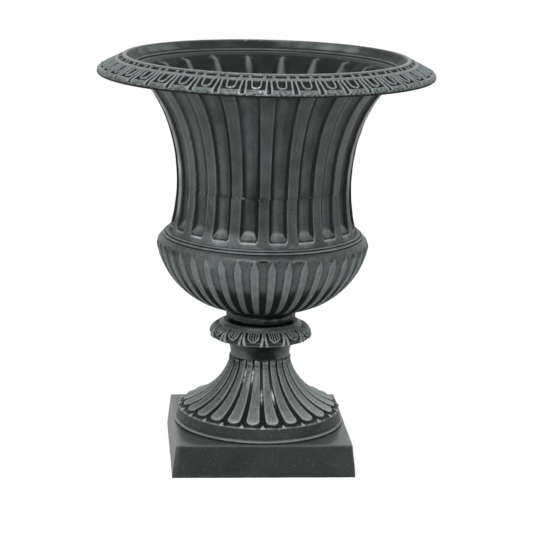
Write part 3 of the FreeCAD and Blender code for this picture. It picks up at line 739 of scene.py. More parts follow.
@dataclass(frozen=True)
class FloorPaper(Finish):
    """White paper that shows the camera only part of the object's shadow.

    Args:
        name: the material's name.
        white: the two tones of the paper.
        to_camera: its share of plain white to the camera, and how bright that is.
        to_mirrors: the same for what the object mirrors.
    """

    name: str = "floor_paper"
    white: tuple[Colour, Colour] = ((0.86, 0.86, 0.86, 1.0), (0.9, 0.9, 0.9, 1.0))
    to_camera: tuple[float, float] = (0.7, 1.12)
    to_mirrors: tuple[float, float] = (0.8, 0.5)

    def surface(self, tree: Tree) -> bpy.types.Node:
        """Diffuse paper mixed with plain white."""
        path = tree.node("ShaderNodeLightPath")
        seen, mirrored = (tree.read(path.outputs[name]) for name in ("Is Camera Ray", "Is Glossy Ray"))
        grain = tree.noise(tree.place(), 3.0, Detail=3.0)
        paper = tree.node("ShaderNodeBsdfDiffuse", None, Color=tree.blend(grain, *self.white))
        glow = tree.node("ShaderNodeEmission", None, Color=WHITE,
                         Strength=seen * self.to_camera[1] + mirrored * self.to_mirrors[1])
        return tree.node("ShaderNodeMixShader", None, i0=seen * self.to_camera[0] + mirrored * self.to_mirrors[0],
                         i1=paper.outputs[0], i2=glow.outputs[0])


# ---------------------------------------------------------------- castings
class Casting:
    """A casting of the urn: a closed outline in stretches, a finish, and the node that it stands for.

    Args:
        node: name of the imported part's node.
        finish: what it is painted with.
    """

    node: str
    finish: Finish

    def stretches(self) -> list[Stretch]:
        """The closed outline."""
        raise NotImplementedError

    def shape(self) -> bpy.types.Object:
        """The carved surface."""
        return ring_piece(self.node + "_casting", self.stretches())

    def build(self) -> None:
        """Makes the piece, gives it its finish and puts it in its node's place."""
        piece = self.shape()
        piece.data.materials.append(self.finish.material())
        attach(piece, "root")
        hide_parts(self.node)
        count = sum(len(face.vertices) - 2 for face in piece.data.polygons)
        LOG.info("%s: %d triangles, for node %s", piece.name, count, self.node)


def groove(offset: Array, width: Array, depth: float) -> Array:
    """Depth of a round groove so wide and so deep: an arc of radius (w^2/4 + d^2) / 2d, and 0 beside it."""
    radius = (width ** 2 / 4.0 + depth ** 2) / (2.0 * depth)
    return np.maximum(np.sqrt(np.maximum(radius ** 2 - offset ** 2, 0.0)) - (radius - depth), 0.0)


def corner_loss(offset: Array, half: Array, corner: Array) -> Array:
    """How far a rounded end falls short of a square one: c - sqrt(c^2 - x^2), x being the reach into the corner."""
    beyond = np.clip(np.abs(offset) - (half - corner), 0.0, corner)
    return corner - np.sqrt(np.maximum(corner ** 2 - beyond ** 2, 0.0))


def softly_least(first: Array, second: Array, blend: float) -> Array:
    """The smaller of two fields, with the crease between them rounded over blend."""
    share = held(0.5 + 0.5 * (second - first) / blend)
    return second * (1.0 - share) + first * share - blend * share * (1.0 - share)


@dataclass
class Flutes:
    """The channels of the drum and the flared body.

    Args:
        count: channels round the body.
        turn: angle of one channel's middle.
        share: share of the pitch that is channel.
        depth: depth of a channel.
        foot: height of the channels' square lower ends.
        head: height of their upper ends.
        corner: rounding of the square ends.
        slope: how steeply an end facet goes down into the channel.
        joint: height of the seam between drum and body.
        joint_face: radii over which the channels start beside the seam's flat face.
        last_lands: angles of the last lands that the front shows on the left and on the right, which get a painted
            highlight.
        lit_flanks: middle, width and strength of the painted light on the channels' flanks.
        lit_sides: the same for the painted light on the body's sides.
        dark_sides: the same for the painted shade in the channels at the sides.
    """

    count: int = 20
    turn: float = -12.66
    share: float = 0.64
    depth: float = 5.5
    foot: float = 288.9
    head: float = 472.4
    corner: float = 4.2
    slope: float = 0.43
    joint: float = 340.4
    joint_face: tuple[float, float] = (99.0, 101.3)
    last_lands: tuple[float, float] = (-75.7, 68.3)
    lit_flanks: Spots = ((-61.3, 5.0, 1.0), (-43.3, 5.0, 0.35))
    lit_sides: Spots = ((-60.0, 20.0, 0.17), (50.0, 18.0, 0.12))
    dark_sides: Spots = ((59.0, 13.0, 0.2), (-67.0, 7.0, 0.16))

    def carve(self, place: Place) -> Carving:
        """Carves the channels: a round groove met by a sloping facet at each end, and rubbed edges; painted highlights,
        sheens and painted shade are laid on lands, flanks and facets.

        Args:
            place: the stretch, either the drum or the body.

        Returns:
            The channels' relief.
        """
        number, offset = place.unit(self.count, self.turn)
        level, turned = place.height[:, None], place.turned()
        width = 2.0 * place.half_pitch(self.count) * self.share
        to_side = width / 2.0 - np.abs(offset)
        rounding = corner_loss(offset, width / 2.0, self.corner)
        rise = np.minimum(level - self.foot - 0.7 * scatter(number, 3.1), (self.head - level) * 1.1) - rounding
        inside = np.minimum(to_side, rise)
        floor = groove(offset, width, self.depth)
        flat = self.depth * np.maximum(1.0 - np.abs(2.0 * offset / width) ** 5, 0.0)
        floor = floor + (flat - floor) * 0.85 * ramp(level, 335.0, 302.0)
        facet = np.maximum(rise, 0.0) * self.slope
        off_joint = ramp(place.radius, *self.joint_face)[:, None]
        cut = np.maximum(softly_least(floor, facet, 0.5), 0.0) * off_joint
        on_drum, low, at_foot = ramp(level, 350.0, 330.0), ramp(level, 312.0, 300.0), ramp(level, 304.0, 292.0)
        rough = place.lumps(26.0, 5) * 0.25 + place.lumps(9.0, 6) * 0.09 * on_drum
        streak = place.lumps(30.0, 11)
        # Painted highlight along the lower edges of the channels.
        foot_edge_highlight = bell(rise, 0.8) * ramp(width / 2.0 + 0.5 - np.abs(offset), 0.0, 1.0) * low
        # Painted highlight on the last land seen at each side.
        left, right = self.last_lands
        edge_land_highlight = bell(turned - left, 3.2) * ramp(level, 300.0, 315.0)
        edge_land_highlight = edge_land_highlight + 0.9 * bell(turned - right, 2.6) * ramp(level, 332.0, 350.0)
        edge_land_highlight = edge_land_highlight * ramp(inside, 0.6, -0.4)
        # Painted shade on the channels just past those lands.
        beyond_edge_shade = (ramp(-turned, 77.5, 81.0) + ramp(turned, 70.5, 74.0)) * ramp(np.abs(turned), 97.0, 87.0)
        # Rubbed lines along the channels' edges, with painted light on the flanks at the left.
        edge_wear_and_flank_light = bell(inside, 0.7) * (0.1 + 0.12 * streak + 0.35 * at_foot)
        edge_wear_and_flank_light = edge_wear_and_flank_light + 0.75 * bell(inside, 1.5) * spots(turned, *self.lit_flanks) * ramp(level, 306.0, 320.0)
        on_facet = ramp(floor - facet, 0.0, 1.2) * (inside > 0.0) * ramp(level, 322.0, 312.0)
        # Painted highlight on the ridge where a channel meets its end facet, and painted sheen on the facets.
        peak = bell(floor - facet - 0.3, 1.1) * low * (inside > 0.4)
        shine = on_facet * held(facet / self.depth) * (0.8 + 0.3 * streak)
        # Painted light on the body's sides, and painted shade on the drum, most on its left; both go into the lands.
        sides = spots(turned, *self.lit_sides) * ramp(level, 325.0, 365.0)
        sides = sides - (0.03 + 0.06 * bell(turned + 60.0, 18.0)) * on_drum
        land = 0.1 + 0.07 * streak + 0.03 * scatter(number, 8.8) + sides + 1.12 * edge_land_highlight * (1.0 + 0.3 * streak)
        # Painted sheen down the middle of each channel, and a painted gloss on the lands near the channels' feet at the
        # front left.
        floor_sheen = (0.17 + 0.05 * scatter(number, 9.9)) * bell(offset + 0.12 * width, width * 0.2)
        floor_sheen = floor_sheen * (1.0 + 0.5 * place.lumps(60.0, 14))
        gloss = 0.5 * bell(turned + 32.0, 15.0) * at_foot * (inside < 0.0)
        joint_line = bell(level - self.joint - 0.4 * place.lumps(12.0, 16), 0.8)
        chips = joint_line * ramp(place.lumps(6.0, 17), 0.3, 0.8) * ramp(place.lumps(40.0, 20), -0.5, 0.4)
        rub_and_highlight = land + gloss + (0.75 + 0.5 * place.lumps(5.0, 19)) * foot_edge_highlight + edge_wear_and_flank_light + 0.4 * peak \
            + 0.3 * shine - 0.1 * (inside > 0.0) + floor_sheen + 1.1 * chips
        # Painted shade on the channels' flanks, less on the left flanks at the far left.
        flank_shade = bell(inside - 2.0, 1.9) * (0.55 + 0.55 * ramp(level, 445.0, 350.0) + 0.2 * streak) * (1.0 - on_facet)
        flank_shade = flank_shade * (1.05 + 0.4 * scatter(number + 31.0 * (offset > 0.0), 7.3))
        flank_shade = flank_shade * (1.0 - 0.6 * bell(turned + 70.0, 9.0) * (offset < 0.0))
        # Painted shade just inside the channels' lower ends.
        sill_shade = bell(rise - 1.9, 1.4) * low * (inside > 0.0) * 0.85
        # Painted shadow of the rim over the tops of the channels.
        brow_shade = 0.3 * ramp(level, 452.0, 474.0)
        # Dirt near the waist seam, with painted shade past the last lands, in channels at the sides and at the front
        # near the waist.
        dirt_and_shade = 0.25 * ramp(place.lumps(20.0, 12), 0.1, 0.9) * ramp(level, 350.0, 336.0) * ramp(level, 318.0, 332.0)
        dirt_and_shade = dirt_and_shade + 0.75 * beyond_edge_shade * (1.0 - edge_land_highlight) + spots(turned, *self.dark_sides) * (inside > 0.0)
        dirt_and_shade = dirt_and_shade + bell(turned + 7.0, 9.0) * bell(level - 338.0, 34.0) * (0.24 + 0.26 * (inside > 0.0))
        grime_and_shade = (flank_shade * ramp(inside, -0.6, 0.6) + sill_shade) * off_joint + brow_shade + dirt_and_shade + 0.16 * joint_line * (1.0 - chips)
        return Carving.limited(-cut + rough - 0.2, rub_and_highlight, grime_and_shade, 2.0)


@dataclass
class Ridges:
    """Rounded ridges on the inside of the body, behind the channels.

    Args:
        flutes: the channels outside.
        share: share of the pitch that is ridge.
        height: height of a ridge.
    """

    flutes: Flutes
    share: float = 0.5
    height: float = 5.0

    def carve(self, place: Place) -> Carving:
        """Raises a ridge behind each channel, lower towards the throat, with a painted highlight along each crest,
        painted sheen in patches and painted shade between the ridges.

        Args:
            place: where the carving is read.

        Returns:
            The carving.
        """
        _, offset = place.unit(self.flutes.count, self.flutes.turn)
        width = 2.0 * place.half_pitch(self.flutes.count) * self.share
        level = place.height[:, None]
        tall = ramp(level, 479.0, 473.0) * ramp(level, 347.0, 352.0)
        height = groove(offset, width, self.height) * tall
        thin = 1.7 + 3.4 * ramp(level, 479.0, 462.0)
        # Painted highlight along each crest, painted sheen in patches, painted shade between the ridges.
        rub_and_highlight = 0.72 * bell(offset - 0.6, thin) * ramp(level, 479.8, 477.0) * ramp(level, 360.0, 450.0)
        rub_and_highlight = rub_and_highlight * (0.75 + 0.4 * place.lumps(40.0, 2))
        sheen = 0.3 * ramp(place.lumps(45.0, 3), 0.0, 0.8) * ramp(level, 440.0, 465.0)
        return Carving.limited(height + place.lumps(18.0, 9) * 0.3, rub_and_highlight + sheen * 0.5,
                               0.85 - 0.7 * bell(offset, 3.5) - sheen)


@dataclass
class EggAndDart:
    """The rim's carving, from the lip outwards and down: dashes, a fillet, eggs with darts between, a plain edge.

    Args:
        count: eggs round the rim.
        turn: angle of one egg's middle.
        dashes: where the row of sunk dashes lies, from the crest.
        fillet: middle of the plain fillet under them.
        egg_top: where the shells round the eggs start.
        egg_middle: middle of the shells' round ends.
        shell: radius of a shell's outline.
        stroke: half the width of a raised line.
        sunk: depth of the ground between the lines.
        edge: where the plain lower edge starts.
        widest: where it turns under.
        glint_middle: angle round which the shells' feet glint.
    """

    count: int = 42
    turn: float = -7.86
    dashes: tuple[float, float] = (2.2, 6.8)
    fillet: float = 9.6
    egg_top: float = 12.6
    egg_middle: float = 22.4
    shell: float = 4.8
    stroke: float = 1.0
    sunk: float = 2.6
    edge: float = 30.2
    widest: float = 38.4
    glint_middle: float = -8.4

    def carve(self, place: Place) -> Carving:
        """Carves the rim from the distance below the crest and the distance from the nearest egg.

        The shells are where the distance to a U is under half a stroke; the darts are two strips that
        spread a little to the edge, with a slit between; eggs and ground are sunk. The strokes' flanks and the
        underside get painted shade, the sides get a little painted shade, and the front gets painted glints.

        Args:
            place: where the carving is read.

        Returns:
            The carving.
        """
        number, offset = place.unit(self.count, self.turn)
        down = (place.length - place.travel)[:, None] + 0.0 * offset
        aside = np.abs(offset)
        from_dart = place.half_pitch(self.count) - aside
        drift = 0.35 * scatter(number, 1.7)
        middle = self.egg_middle + drift
        beneath = np.maximum(down - middle, 0.0)
        lean = self.shell + 0.055 * np.maximum(middle - down, 0.0)
        reach_down = np.sqrt(offset ** 2 + beneath ** 2)
        to_shell = np.abs(reach_down - lean)
        inside_egg = lean - reach_down
        row = ramp(down, self.egg_top - 0.8, self.egg_top + 0.5) * ramp(down, self.edge + 0.5, self.edge - 0.8)
        shell = ramp(self.stroke + 0.45 - to_shell, 0.0, 0.9) * ramp(down, self.egg_top - 1.5, self.egg_top)
        slit = 1.15 + 0.05 * np.maximum(down - self.egg_top, 0.0)
        strip = ramp(from_dart - slit, -0.45, 0.45) * ramp(slit + 2.5 - from_dart, -0.45, 0.45)
        strip = strip * ramp(down, 37.4, 36.0)
        egg = ramp(inside_egg, 1.2, 4.0) * 0.3
        ground = row * (1.0 - shell) * (1.0 - strip)
        sunk = ground * (self.sunk - egg)
        worn_down = 0.5 + 0.5 * place.lumps(9.0, 26)
        slit_low = ramp(slit + 0.2 - from_dart, 0.0, 0.8) * ramp(down, self.egg_top + 1.0, self.egg_top + 3.0)
        slit_low = slit_low * ramp(down, 37.0, 35.2)
        sunk = np.maximum(sunk, slit_low * 2.0)
        long_dash = ramp(6.0 - aside + 0.4 * drift, -0.4, 0.5)
        short_dash = ramp(2.9 - from_dart, -0.4, 0.5)
        first, last = self.dashes
        in_row = ramp(down, first - 0.4, first + 0.5) * ramp(down, last + 0.6, last - 0.6)
        dash = np.maximum(long_dash, short_dash) * in_row
        sunk = np.maximum(sunk, dash * 2.0)
        fillet = bell(down - self.fillet, 1.3) * 0.4
        spotty = place.lumps(4.5, 23)
        uneven = place.lumps(3.2, 22) * 0.26 * ramp(down, self.edge - 1.0, self.edge + 1.0)
        uneven = place.lumps(7.0, 21) * 0.16 + uneven
        ends = place.ease(0.0, 2.5) * ramp(down, 0.0, 2.0)
        ragged = ramp(down, 34.5, 37.5) * (0.5 + 0.5 * place.lumps(6.5, 27)) * 0.9
        height = -sunk + fillet * (1.0 - dash) + 0.3 * shell * row + 0.25 * strip * row + uneven - 0.25 - ragged
        raised = np.maximum(shell * row, 0.85 * strip * ramp(down, self.egg_top - 1.0, self.egg_top))
        plain = held((1.0 - np.maximum(ground, dash)) * ramp(down, 1.0, 2.2))
        plain = plain * ramp(down, self.edge + 1.0, self.edge - 1.5)
        band = ramp(down, self.edge - 1.5, self.edge + 1.0) * (1.0 - slit_low)
        mottle = 0.5 + 0.5 * place.lumps(6.0, 31)
        crown = np.maximum(bell(to_shell, 0.8) * shell, bell(from_dart - slit - 1.25, 1.1) * strip)
        # Painted shade on the flanks of the raised strokes.
        flank_shade = np.maximum(shell * row, strip * ramp(down, self.edge + 1.0, self.edge - 1.0)) * (1.0 - crown)
        rub_and_highlight = (0.3 + 0.3 * crown + 0.2 * mottle) * raised + plain * (0.22 + 0.3 * mottle)
        rub_and_highlight = rub_and_highlight + band * (0.2 + 0.3 * mottle + 0.35 * np.clip(spotty, -1.0, 1.0))
        rub_and_highlight = rub_and_highlight + bell(down - self.fillet, 1.0) * 0.12 + bell(down, 0.9) * 0.8
        # Painted glints at the front, on the lower band and at the feet of the shells.
        near_front = bell(place.turned(self.glint_middle), 8.0)
        glint = ramp(place.lumps(2.6, 24), 0.45, 0.8) * ramp(down, self.edge - 3.0, self.edge - 1.5) * near_front
        glint = np.maximum(glint, bell(reach_down - lean, 0.7) * ramp(beneath, 1.0, 3.0) * near_front
                           * ramp(place.lumps(2.8, 25) + 0.4 * scatter(number, 4.4), 0.1, 0.5))
        # Painted shade dims the rubbed paint at the sides.
        aside_view = np.abs(np.sin(np.radians(place.angle[None, :] + 5.0)))
        rub_and_highlight = rub_and_highlight * (0.85 + 0.3 * worn_down - 0.22 * ramp(aside_view, 0.6, 1.0)) + 1.7 * glint
        # Painted shade under the widest line.
        under = ramp(down, self.widest, self.widest + 1.2)
        return Carving.limited(height * ends, rub_and_highlight * (1.0 - under), np.maximum(sunk / 1.8, under) + 0.6 * flank_shade, 2.0)


@dataclass
class RimRing(Casting):
    """The overhanging rim with its cove, skirt and hollow underside.

    Args:
        inner: radius of the rim's inner edge.
        seat: height of the seat on the flange.
        step: height of the step line at the cove's foot.
        crest: height and the two radii of the flat crest.
        lip: outer end of the crest's slope.
        nose: where the slope turns down.
        widest: radius and height of the widest line.
        edge: underside's outer corner.
        hollow: underside's inner corner.
        skirt: inner and outer radius and the lower end of the skirt.
        ornament: its carving.
        columns: faces round the plain parts; the carved one has four times as many.
        cove_sheen_spots: middle, width and strength of each painted sheen patch in the cove.
    """

    inner: float = 158.8
    seat: float = 483.4
    step: float = 485.9
    crest: tuple[float, float, float] = (497.0, 169.4, 173.0)
    lip: tuple[float, float] = (178.0, 494.0)
    nose: tuple[float, float] = (200.0, 483.0)
    widest: tuple[float, float] = (205.0, 476.4)
    edge: tuple[float, float] = (202.8, 474.2)
    hollow: tuple[float, float] = (197.8, 474.2)
    skirt: tuple[float, float, float] = (176.3, 181.3, 479.4)
    ornament: EggAndDart = field(default_factory=EggAndDart)
    columns: int = 378
    cove_sheen_spots: Spots = ((143.0, 15.0, 1.0), (229.0, 17.0, 0.85), (164.0, 7.0, 0.6), (193.0, 5.0, 0.3))
    node: str = "rim_ring"
    finish: Finish = PaintedIron("rim_iron", paint=shade(38, 44, 41), cloud=shade(49, 55, 53),
                                 pewter_and_highlight=shade(120, 130, 130), rub_and_highlight_amount=0.95, roughness=0.4,
                                 grain_height=0.00008)

    def inside(self, place: Place) -> Carving:
        """The cove: painted shade, with painted sheen patches, chips at the back, a light line at its foot and a light
        crest.

        Args:
            place: where the carving is read.

        Returns:
            The carving.
        """
        depth = place.travel[:, None] + 0.0 * place.angle[None, :]
        crest = bell(depth - 1.6, 2.2)
        step = bell(place.height[:, None] - self.step, 0.8) * (depth > 8.0)
        # Painted sheen in patches on the cove; the rest of the cove is darkened as painted shade.
        patches = sum(bell(place.turned(middle), width) * bright for middle, width, bright in self.cove_sheen_spots)
        in_cove = ramp(depth, 4.0, 6.5) * ramp(depth, 16.0, 13.0)
        cove_sheen = patches * in_cove * (0.8 + 0.4 * place.lumps(30.0, 7))
        chips = bell(depth - 3.0, 2.0) * bell(place.turned(186.0), 11.0) * ramp(place.lumps(9.0, 10), 0.2, 0.6)
        rub_and_highlight = 0.7 * crest + 0.55 * step + 0.55 * cove_sheen + 0.1 * place.lumps(40.0, 4) + 1.3 * chips
        return Carving.limited(place.lumps(24.0, 8) * 0.15 - 0.15, rub_and_highlight,
                               0.6 * ramp(depth, 4.0, 7.0) - cove_sheen - 0.5 * step, 1.6)

    def stretches(self) -> list[Stretch]:
        """The rim's outline: underside, carved outside, crest and cove."""
        slope = (self.lip[1] - self.nose[1]) / (self.lip[0] - self.nose[0])
        low_skirt = (self.skirt[1], self.nose[1] + slope * (self.skirt[1] - self.nose[0]) - 5.6)
        under = np.array([(self.inner, self.seat), (self.skirt[0], self.seat), (self.skirt[0], self.skirt[2]),
                          (self.skirt[1], self.skirt[2]), low_skirt, self.hollow, self.edge])
        bend = [(self.widest[0] - 0.66, self.widest[1] - 1.54)]
        nose = flare(self.widest, self.nose, 62.0)
        outside = np.concatenate([[self.edge], bend, nose, [self.lip, (self.crest[2], self.crest[0])]])
        cove = bow((self.crest[1], self.crest[0]), (self.inner, self.step), 1.5)
        inside = np.concatenate([[(self.crest[2], self.crest[0])], cove, [(self.inner, self.seat)]])
        # The underside gets even painted shade.
        return [Stretch(under, self.columns, 6.0, evenly_dark(0.75)),
                Stretch(outside, 4 * self.columns, 0.86, self.ornament.carve),
                Stretch(inside, self.columns, 1.6, self.inside)]


@dataclass
class UpperBody(Casting):
    """The fluted flare between the waist seam and the flange under the rim.

    Args:
        waist: radius and height of the seam.
        top: radius and height where the flare meets the flange.
        flange: outer radius and top height of the flange.
        seat: inner radius of the rim.
        throat: radius and height of the throat's edge.
        wall: wall at the waist.
        sweep: angle of the ellipse that gives the flare.
        waist_flange: bore and top height of the inner flange.
        flutes: its channels.
        columns: faces round the waist flange; finer parts have two or four times as many.
    """

    waist: tuple[float, float] = (106.8, 340.4)
    top: tuple[float, float] = (163.0, 477.4)
    flange: tuple[float, float] = (176.0, 483.4)
    seat: float = 158.8
    throat: tuple[float, float] = (149.0, 479.9)
    wall: float = 7.0
    sweep: float = 66.0
    waist_flange: tuple[float, float] = (81.3, 348.4)
    flutes: Flutes = field(default_factory=Flutes)
    columns: int = 200
    node: str = "upper_body"
    finish: Finish = PaintedIron("body_iron", paint=shade(38, 44, 41), cloud=shade(49, 53, 51),
                                 pewter_and_highlight=shade(120, 130, 126), edge_wear=0.08, rub_and_highlight_amount=0.8, dusting=0.1)

    def ledge(self, place: Place) -> Carving:
        """Flanges in painted shade, and a lighter ledge under the rim's step."""
        light = 0.6 * bell(place.radius[:, None] - 157.6, 2.4) + 0.0 * place.angle[None, :]
        return Carving(0.0 * light, light * (place.travel[:, None] > 15.0), 0.5 - 0.6 * light)

    def stretches(self) -> list[Stretch]:
        """The body's outline: outside, top flange, inside and waist flange."""
        outside = flare(self.waist, self.top, self.sweep)
        wall = flare((self.waist[0] - self.wall, self.waist[1]), self.throat, self.sweep)
        wall = wall[wall[:, 1] > self.waist_flange[1] + 1.0][::-1]
        over = np.array([self.top, (self.flange[0], self.top[1]), self.flange, (self.seat, self.flange[1]),
                         self.throat])
        floor = (self.waist[0] - self.wall, self.waist_flange[1])
        joint = (self.waist[0] - JOINT_WIDTH, self.waist[1])
        under = np.array([floor, self.waist_flange, (self.waist_flange[0], self.waist[1]), joint])
        outside = np.concatenate([[joint], outside])
        wall = np.concatenate([wall, [floor]])
        few = self.columns
        return [Stretch(outside, 4 * few, 2.0, self.flutes.carve, seam=self.waist[1]),
                Stretch(over, 2 * few, 6.0, self.ledge), Stretch(wall, 2 * few, 3.2, Ridges(self.flutes).carve),
                Stretch(under, few, 7.0, self.ledge)]


@dataclass
class Ribs:
    """The bowl's broad ribs with pointed tops between scalloped valleys.

    Args:
        count: ribs round the bowl.
        turn: angle of one valley's middle.
        depth: depth of a valley.
        low_width: width of a valley at the collar.
        high_width: width of a valley at its top.
        top: height of the valleys' tops.
        scallop: height of their flat arcs.
        lit_shoulder: middle, width and strength of the painted light and painted shade on the shoulder.
    """

    count: int = 40
    turn: float = 5.2
    depth: float = 3.4
    low_width: float = 4.4
    high_width: float = 12.6
    top: float = 271.0
    scallop: float = 5.0
    lit_shoulder: Spots = ((-30.0, 13.0, 1.0), (5.0, 14.0, -0.7), (-60.0, 16.0, -0.8))

    def carve(self, place: Place) -> Carving:
        """Cuts the valleys: they widen until the ribs between them are points, and end in uneven flat arcs. Painted
        light lies on the valleys' upper parts and on the shoulder; painted shade lies low in the valleys, along their
        edges and tops, and on the underside.

        Args:
            place: where the carving is read.

        Returns:
            The carving.
        """
        number, offset = place.unit(self.count, self.turn)
        level, turned = place.height[:, None], place.turned()
        least, most = place.radius.min(), place.radius.max()
        share = ((place.radius - least) / (most - least))[:, None]
        width = self.low_width + (self.high_width - self.low_width) * share
        width = width + (0.97 * (2.0 * place.half_pitch(self.count)) - width) * ramp(level, 256.0, 273.0)
        offset = offset + 0.45 * scatter(number, 5.0)
        top = self.top + 1.6 * scatter(number, 9.0) + 0.9 * place.lumps(6.0, 18) + 0.12 * scatter(number, 6.0) * offset
        scallop = self.scallop * (1.0 - np.sqrt(np.maximum(1.0 - (2.0 * offset / width) ** 2, 0.0)))
        left = top - level - scallop
        cut = softly_least(groove(offset, width, self.depth), np.maximum(left, 0.0) * 0.62, 0.5)
        cut = np.maximum(cut, 0.0) * place.ease(0.0, 3.0)
        to_side = width / 2.0 - np.abs(offset)
        inside = np.minimum(to_side, left)
        rib = ramp(to_side, 1.3, -0.5) * ramp(level, 273.0, 267.0)
        streak = 0.9 + 0.25 * place.lumps(16.0, 15)
        high, upper = ramp(level, 208.0, 236.0), ramp(level, 250.0, 268.0)
        # Painted shade along the valleys' tops; painted light on the shoulder and the valleys' upper parts.
        brow_shade = bell(left - 0.9, 0.8) * ramp(to_side, 0.0, 1.5) * (0.6 + 0.7 * place.lumps(9.0, 24))
        shoulder = ramp(level, 266.0, 274.0) * 0.09 + 0.16 * upper * spots(turned, *self.lit_shoulder)
        valley_light = (0.28 + 0.05 * scatter(number, 3.0)) * high * (inside > 0.0)
        rub_and_highlight = rib * streak * (0.28 + 0.2 * high) + valley_light * (1.0 - 0.7 * brow_shade) + shoulder
        # Painted shade along the valleys' edges, low in the valleys and on the underside.
        edge = bell(inside - 1.4, 1.2) * (0.42 - 0.22 * upper) * (inside > -0.3)
        grime_and_shade = cut / self.depth * (1.05 - high) + edge + 0.75 * brow_shade + 0.6 * ramp(level, 206.0, 189.0)
        return Carving.limited(place.lumps(8.0, 13) * 0.16 - cut, rub_and_highlight, grime_and_shade)


@dataclass
class LowerBowl(Casting):
    """Collar, ribbed bowl, two beads and the fluted drum, up to the waist seam.

    Args:
        collar: radius of the collar's upright, its foot, top and the groove's end.
        bottom: the bowl's lowest edge.
        belly: its widest line.
        shoulder: top of the shoulder.
        lower_bead: radius, top height and bulge.
        upper_bead: radius, top height and bulge.
        drum: foot of the drum.
        waist: the seam.
        flange: bore, base and the spigot's radius and top.
        floor: radius of the flat floor and its height.
        drains: drain holes in it.
        drain: radius of the circle they lie on, and their own radius.
        well: how deep they go.
        bolt_hole: radius of the hole for the centre bolt.
        wall: wall of the ribbed bowl.
        drum_wall: wall of the drum.
        ribs: the bowl's ribs.
        flutes: the drum's channels.
        columns: faces round the plain parts; carved parts have two or four times as many.
    """

    collar: tuple[float, float, float, float] = (38.0, 169.5, 184.5, 187.5)
    bottom: tuple[float, float] = (54.8, 187.5)
    belly: tuple[float, float] = (130.1, 265.5)
    shoulder: tuple[float, float] = (122.7, 276.9)
    lower_bead: tuple[float, float, float] = (121.0, 280.3, 1.7)
    upper_bead: tuple[float, float, float] = (118.0, 282.9, 1.3)
    drum: tuple[float, float] = (115.0, 282.9)
    waist: tuple[float, float] = (106.8, 340.4)
    flange: tuple[float, float, float, float] = (78.0, 332.4, 81.0, 343.4)
    floor: tuple[float, float] = (46.0, 195.5)
    drains: int = 3
    drain: tuple[float, float] = (27.5, 4.0)
    well: float = 24.0
    bolt_hole: float = 6.5
    wall: float = 8.5
    drum_wall: float = 11.0
    ribs: Ribs = field(default_factory=Ribs)
    flutes: Flutes = field(default_factory=lambda: Flutes(turn=-13.2))
    columns: int = 200
    node: str = "lower_bowl"
    finish: Finish = PaintedIron("bowl_iron", paint=shade(42, 49, 46), cloud=shade(52, 59, 57), edge_wear=0.1,
                                 pewter_and_highlight=shade(122, 134, 134), rub_and_highlight_amount=0.92, dusting=0.08)

    def neck(self, place: Place) -> Carving:
        """The collar: uneven rings in its casting, with painted shade in the grooves above and below it.

        Args:
            place: where the carving is read.

        Returns:
            The carving.
        """
        level = place.level()
        wander = place.lumps(70.0, 41) * 2.2 + place.lumps(20.0, 40) * 0.8
        wave = np.sin((level - 172.0) * 1.15 + wander)
        within = ramp(level, 170.0, 173.0) * ramp(level, 185.0, 182.0)
        patch = ramp(place.lumps(26.0, 42), -0.2, 0.7)
        # Painted shade in the grooves above and below the collar.
        grime_and_shade = 0.45 + 0.5 * (wave < -0.3) * patch + 0.5 * ramp(level, 183.5, 185.5) \
            + 0.5 * ramp(level, 173.0, 170.5) - 0.5 * bell(level - 179.0, 2.5) * (1.0 - patch)
        rub_and_highlight = 0.4 * bell(wave - 1.0, 0.6) * within * (1.0 - patch * 0.8)
        return Carving.limited((0.5 * wave * patch + place.lumps(7.0, 43) * 0.35) * within, rub_and_highlight, grime_and_shade)

    def beads(self, place: Place) -> Carving:
        """The shoulder and the two beads: thin rubbed lines with painted highlight on their crowns, dimmed by painted
        shade at the left and just right of the front, and painted shade in the creases between them.

        Args:
            place: where the carving is read.

        Returns:
            The carving.
        """
        level, turned = place.level(), place.turned()
        # Rubbed lines with painted highlight on the crowns, painted shade in the creases.
        crown_rub_and_highlight = spots(level, (279.0, 1.1, 0.62), (281.8, 0.9, 0.72)) + 0.13
        wear_and_shade = 0.9 + 0.35 * place.lumps(26.0, 44) - 0.3 * bell(turned + 60.0, 18.0) - 0.2 * bell(turned - 8.0, 16.0)
        crease_shade = spots(level, (self.shoulder[1], 0.45, 0.6), (self.lower_bead[1], 0.35, 0.55),
                        (self.upper_bead[1], 0.35, 0.35))
        return Carving.limited(place.lumps(12.0, 45) * 0.12, crown_rub_and_highlight * wear_and_shade, crease_shade)

    def inside(self, place: Place) -> Carving:
        """The rough inside, in even painted shade."""
        carving = Carving.plain(place, 0.0, 0.6)
        carving.height = place.lumps(20.0, 46) * 0.4 * place.ease(0.0, 4.0)
        return carving

    def drained(self, place: Place) -> Carving:
        """The bowl's flat floor with its drain holes, wells where the distance from a hole's axis is small; in painted
        shade, darker in the wells.

        Args:
            place: where the carving is read.

        Returns:
            The carving.
        """
        _, offset = place.unit(self.drains, 180.0 / self.drains)
        away = np.sqrt(offset ** 2 + (place.radius[:, None] - self.drain[0]) ** 2)
        on_floor = place.height[:, None] > self.floor[1] - 0.1
        well = ramp(self.drain[1] + 0.4 - away, 0.0, 0.8) * on_floor
        rough = place.lumps(20.0, 47) * 0.2 * place.ease(0.0, 4.0) * ramp(place.radius, 9.0, 13.0)[:, None]
        return Carving(rough * on_floor - self.well * well, 0.0 * well, 0.6 + 0.4 * well)

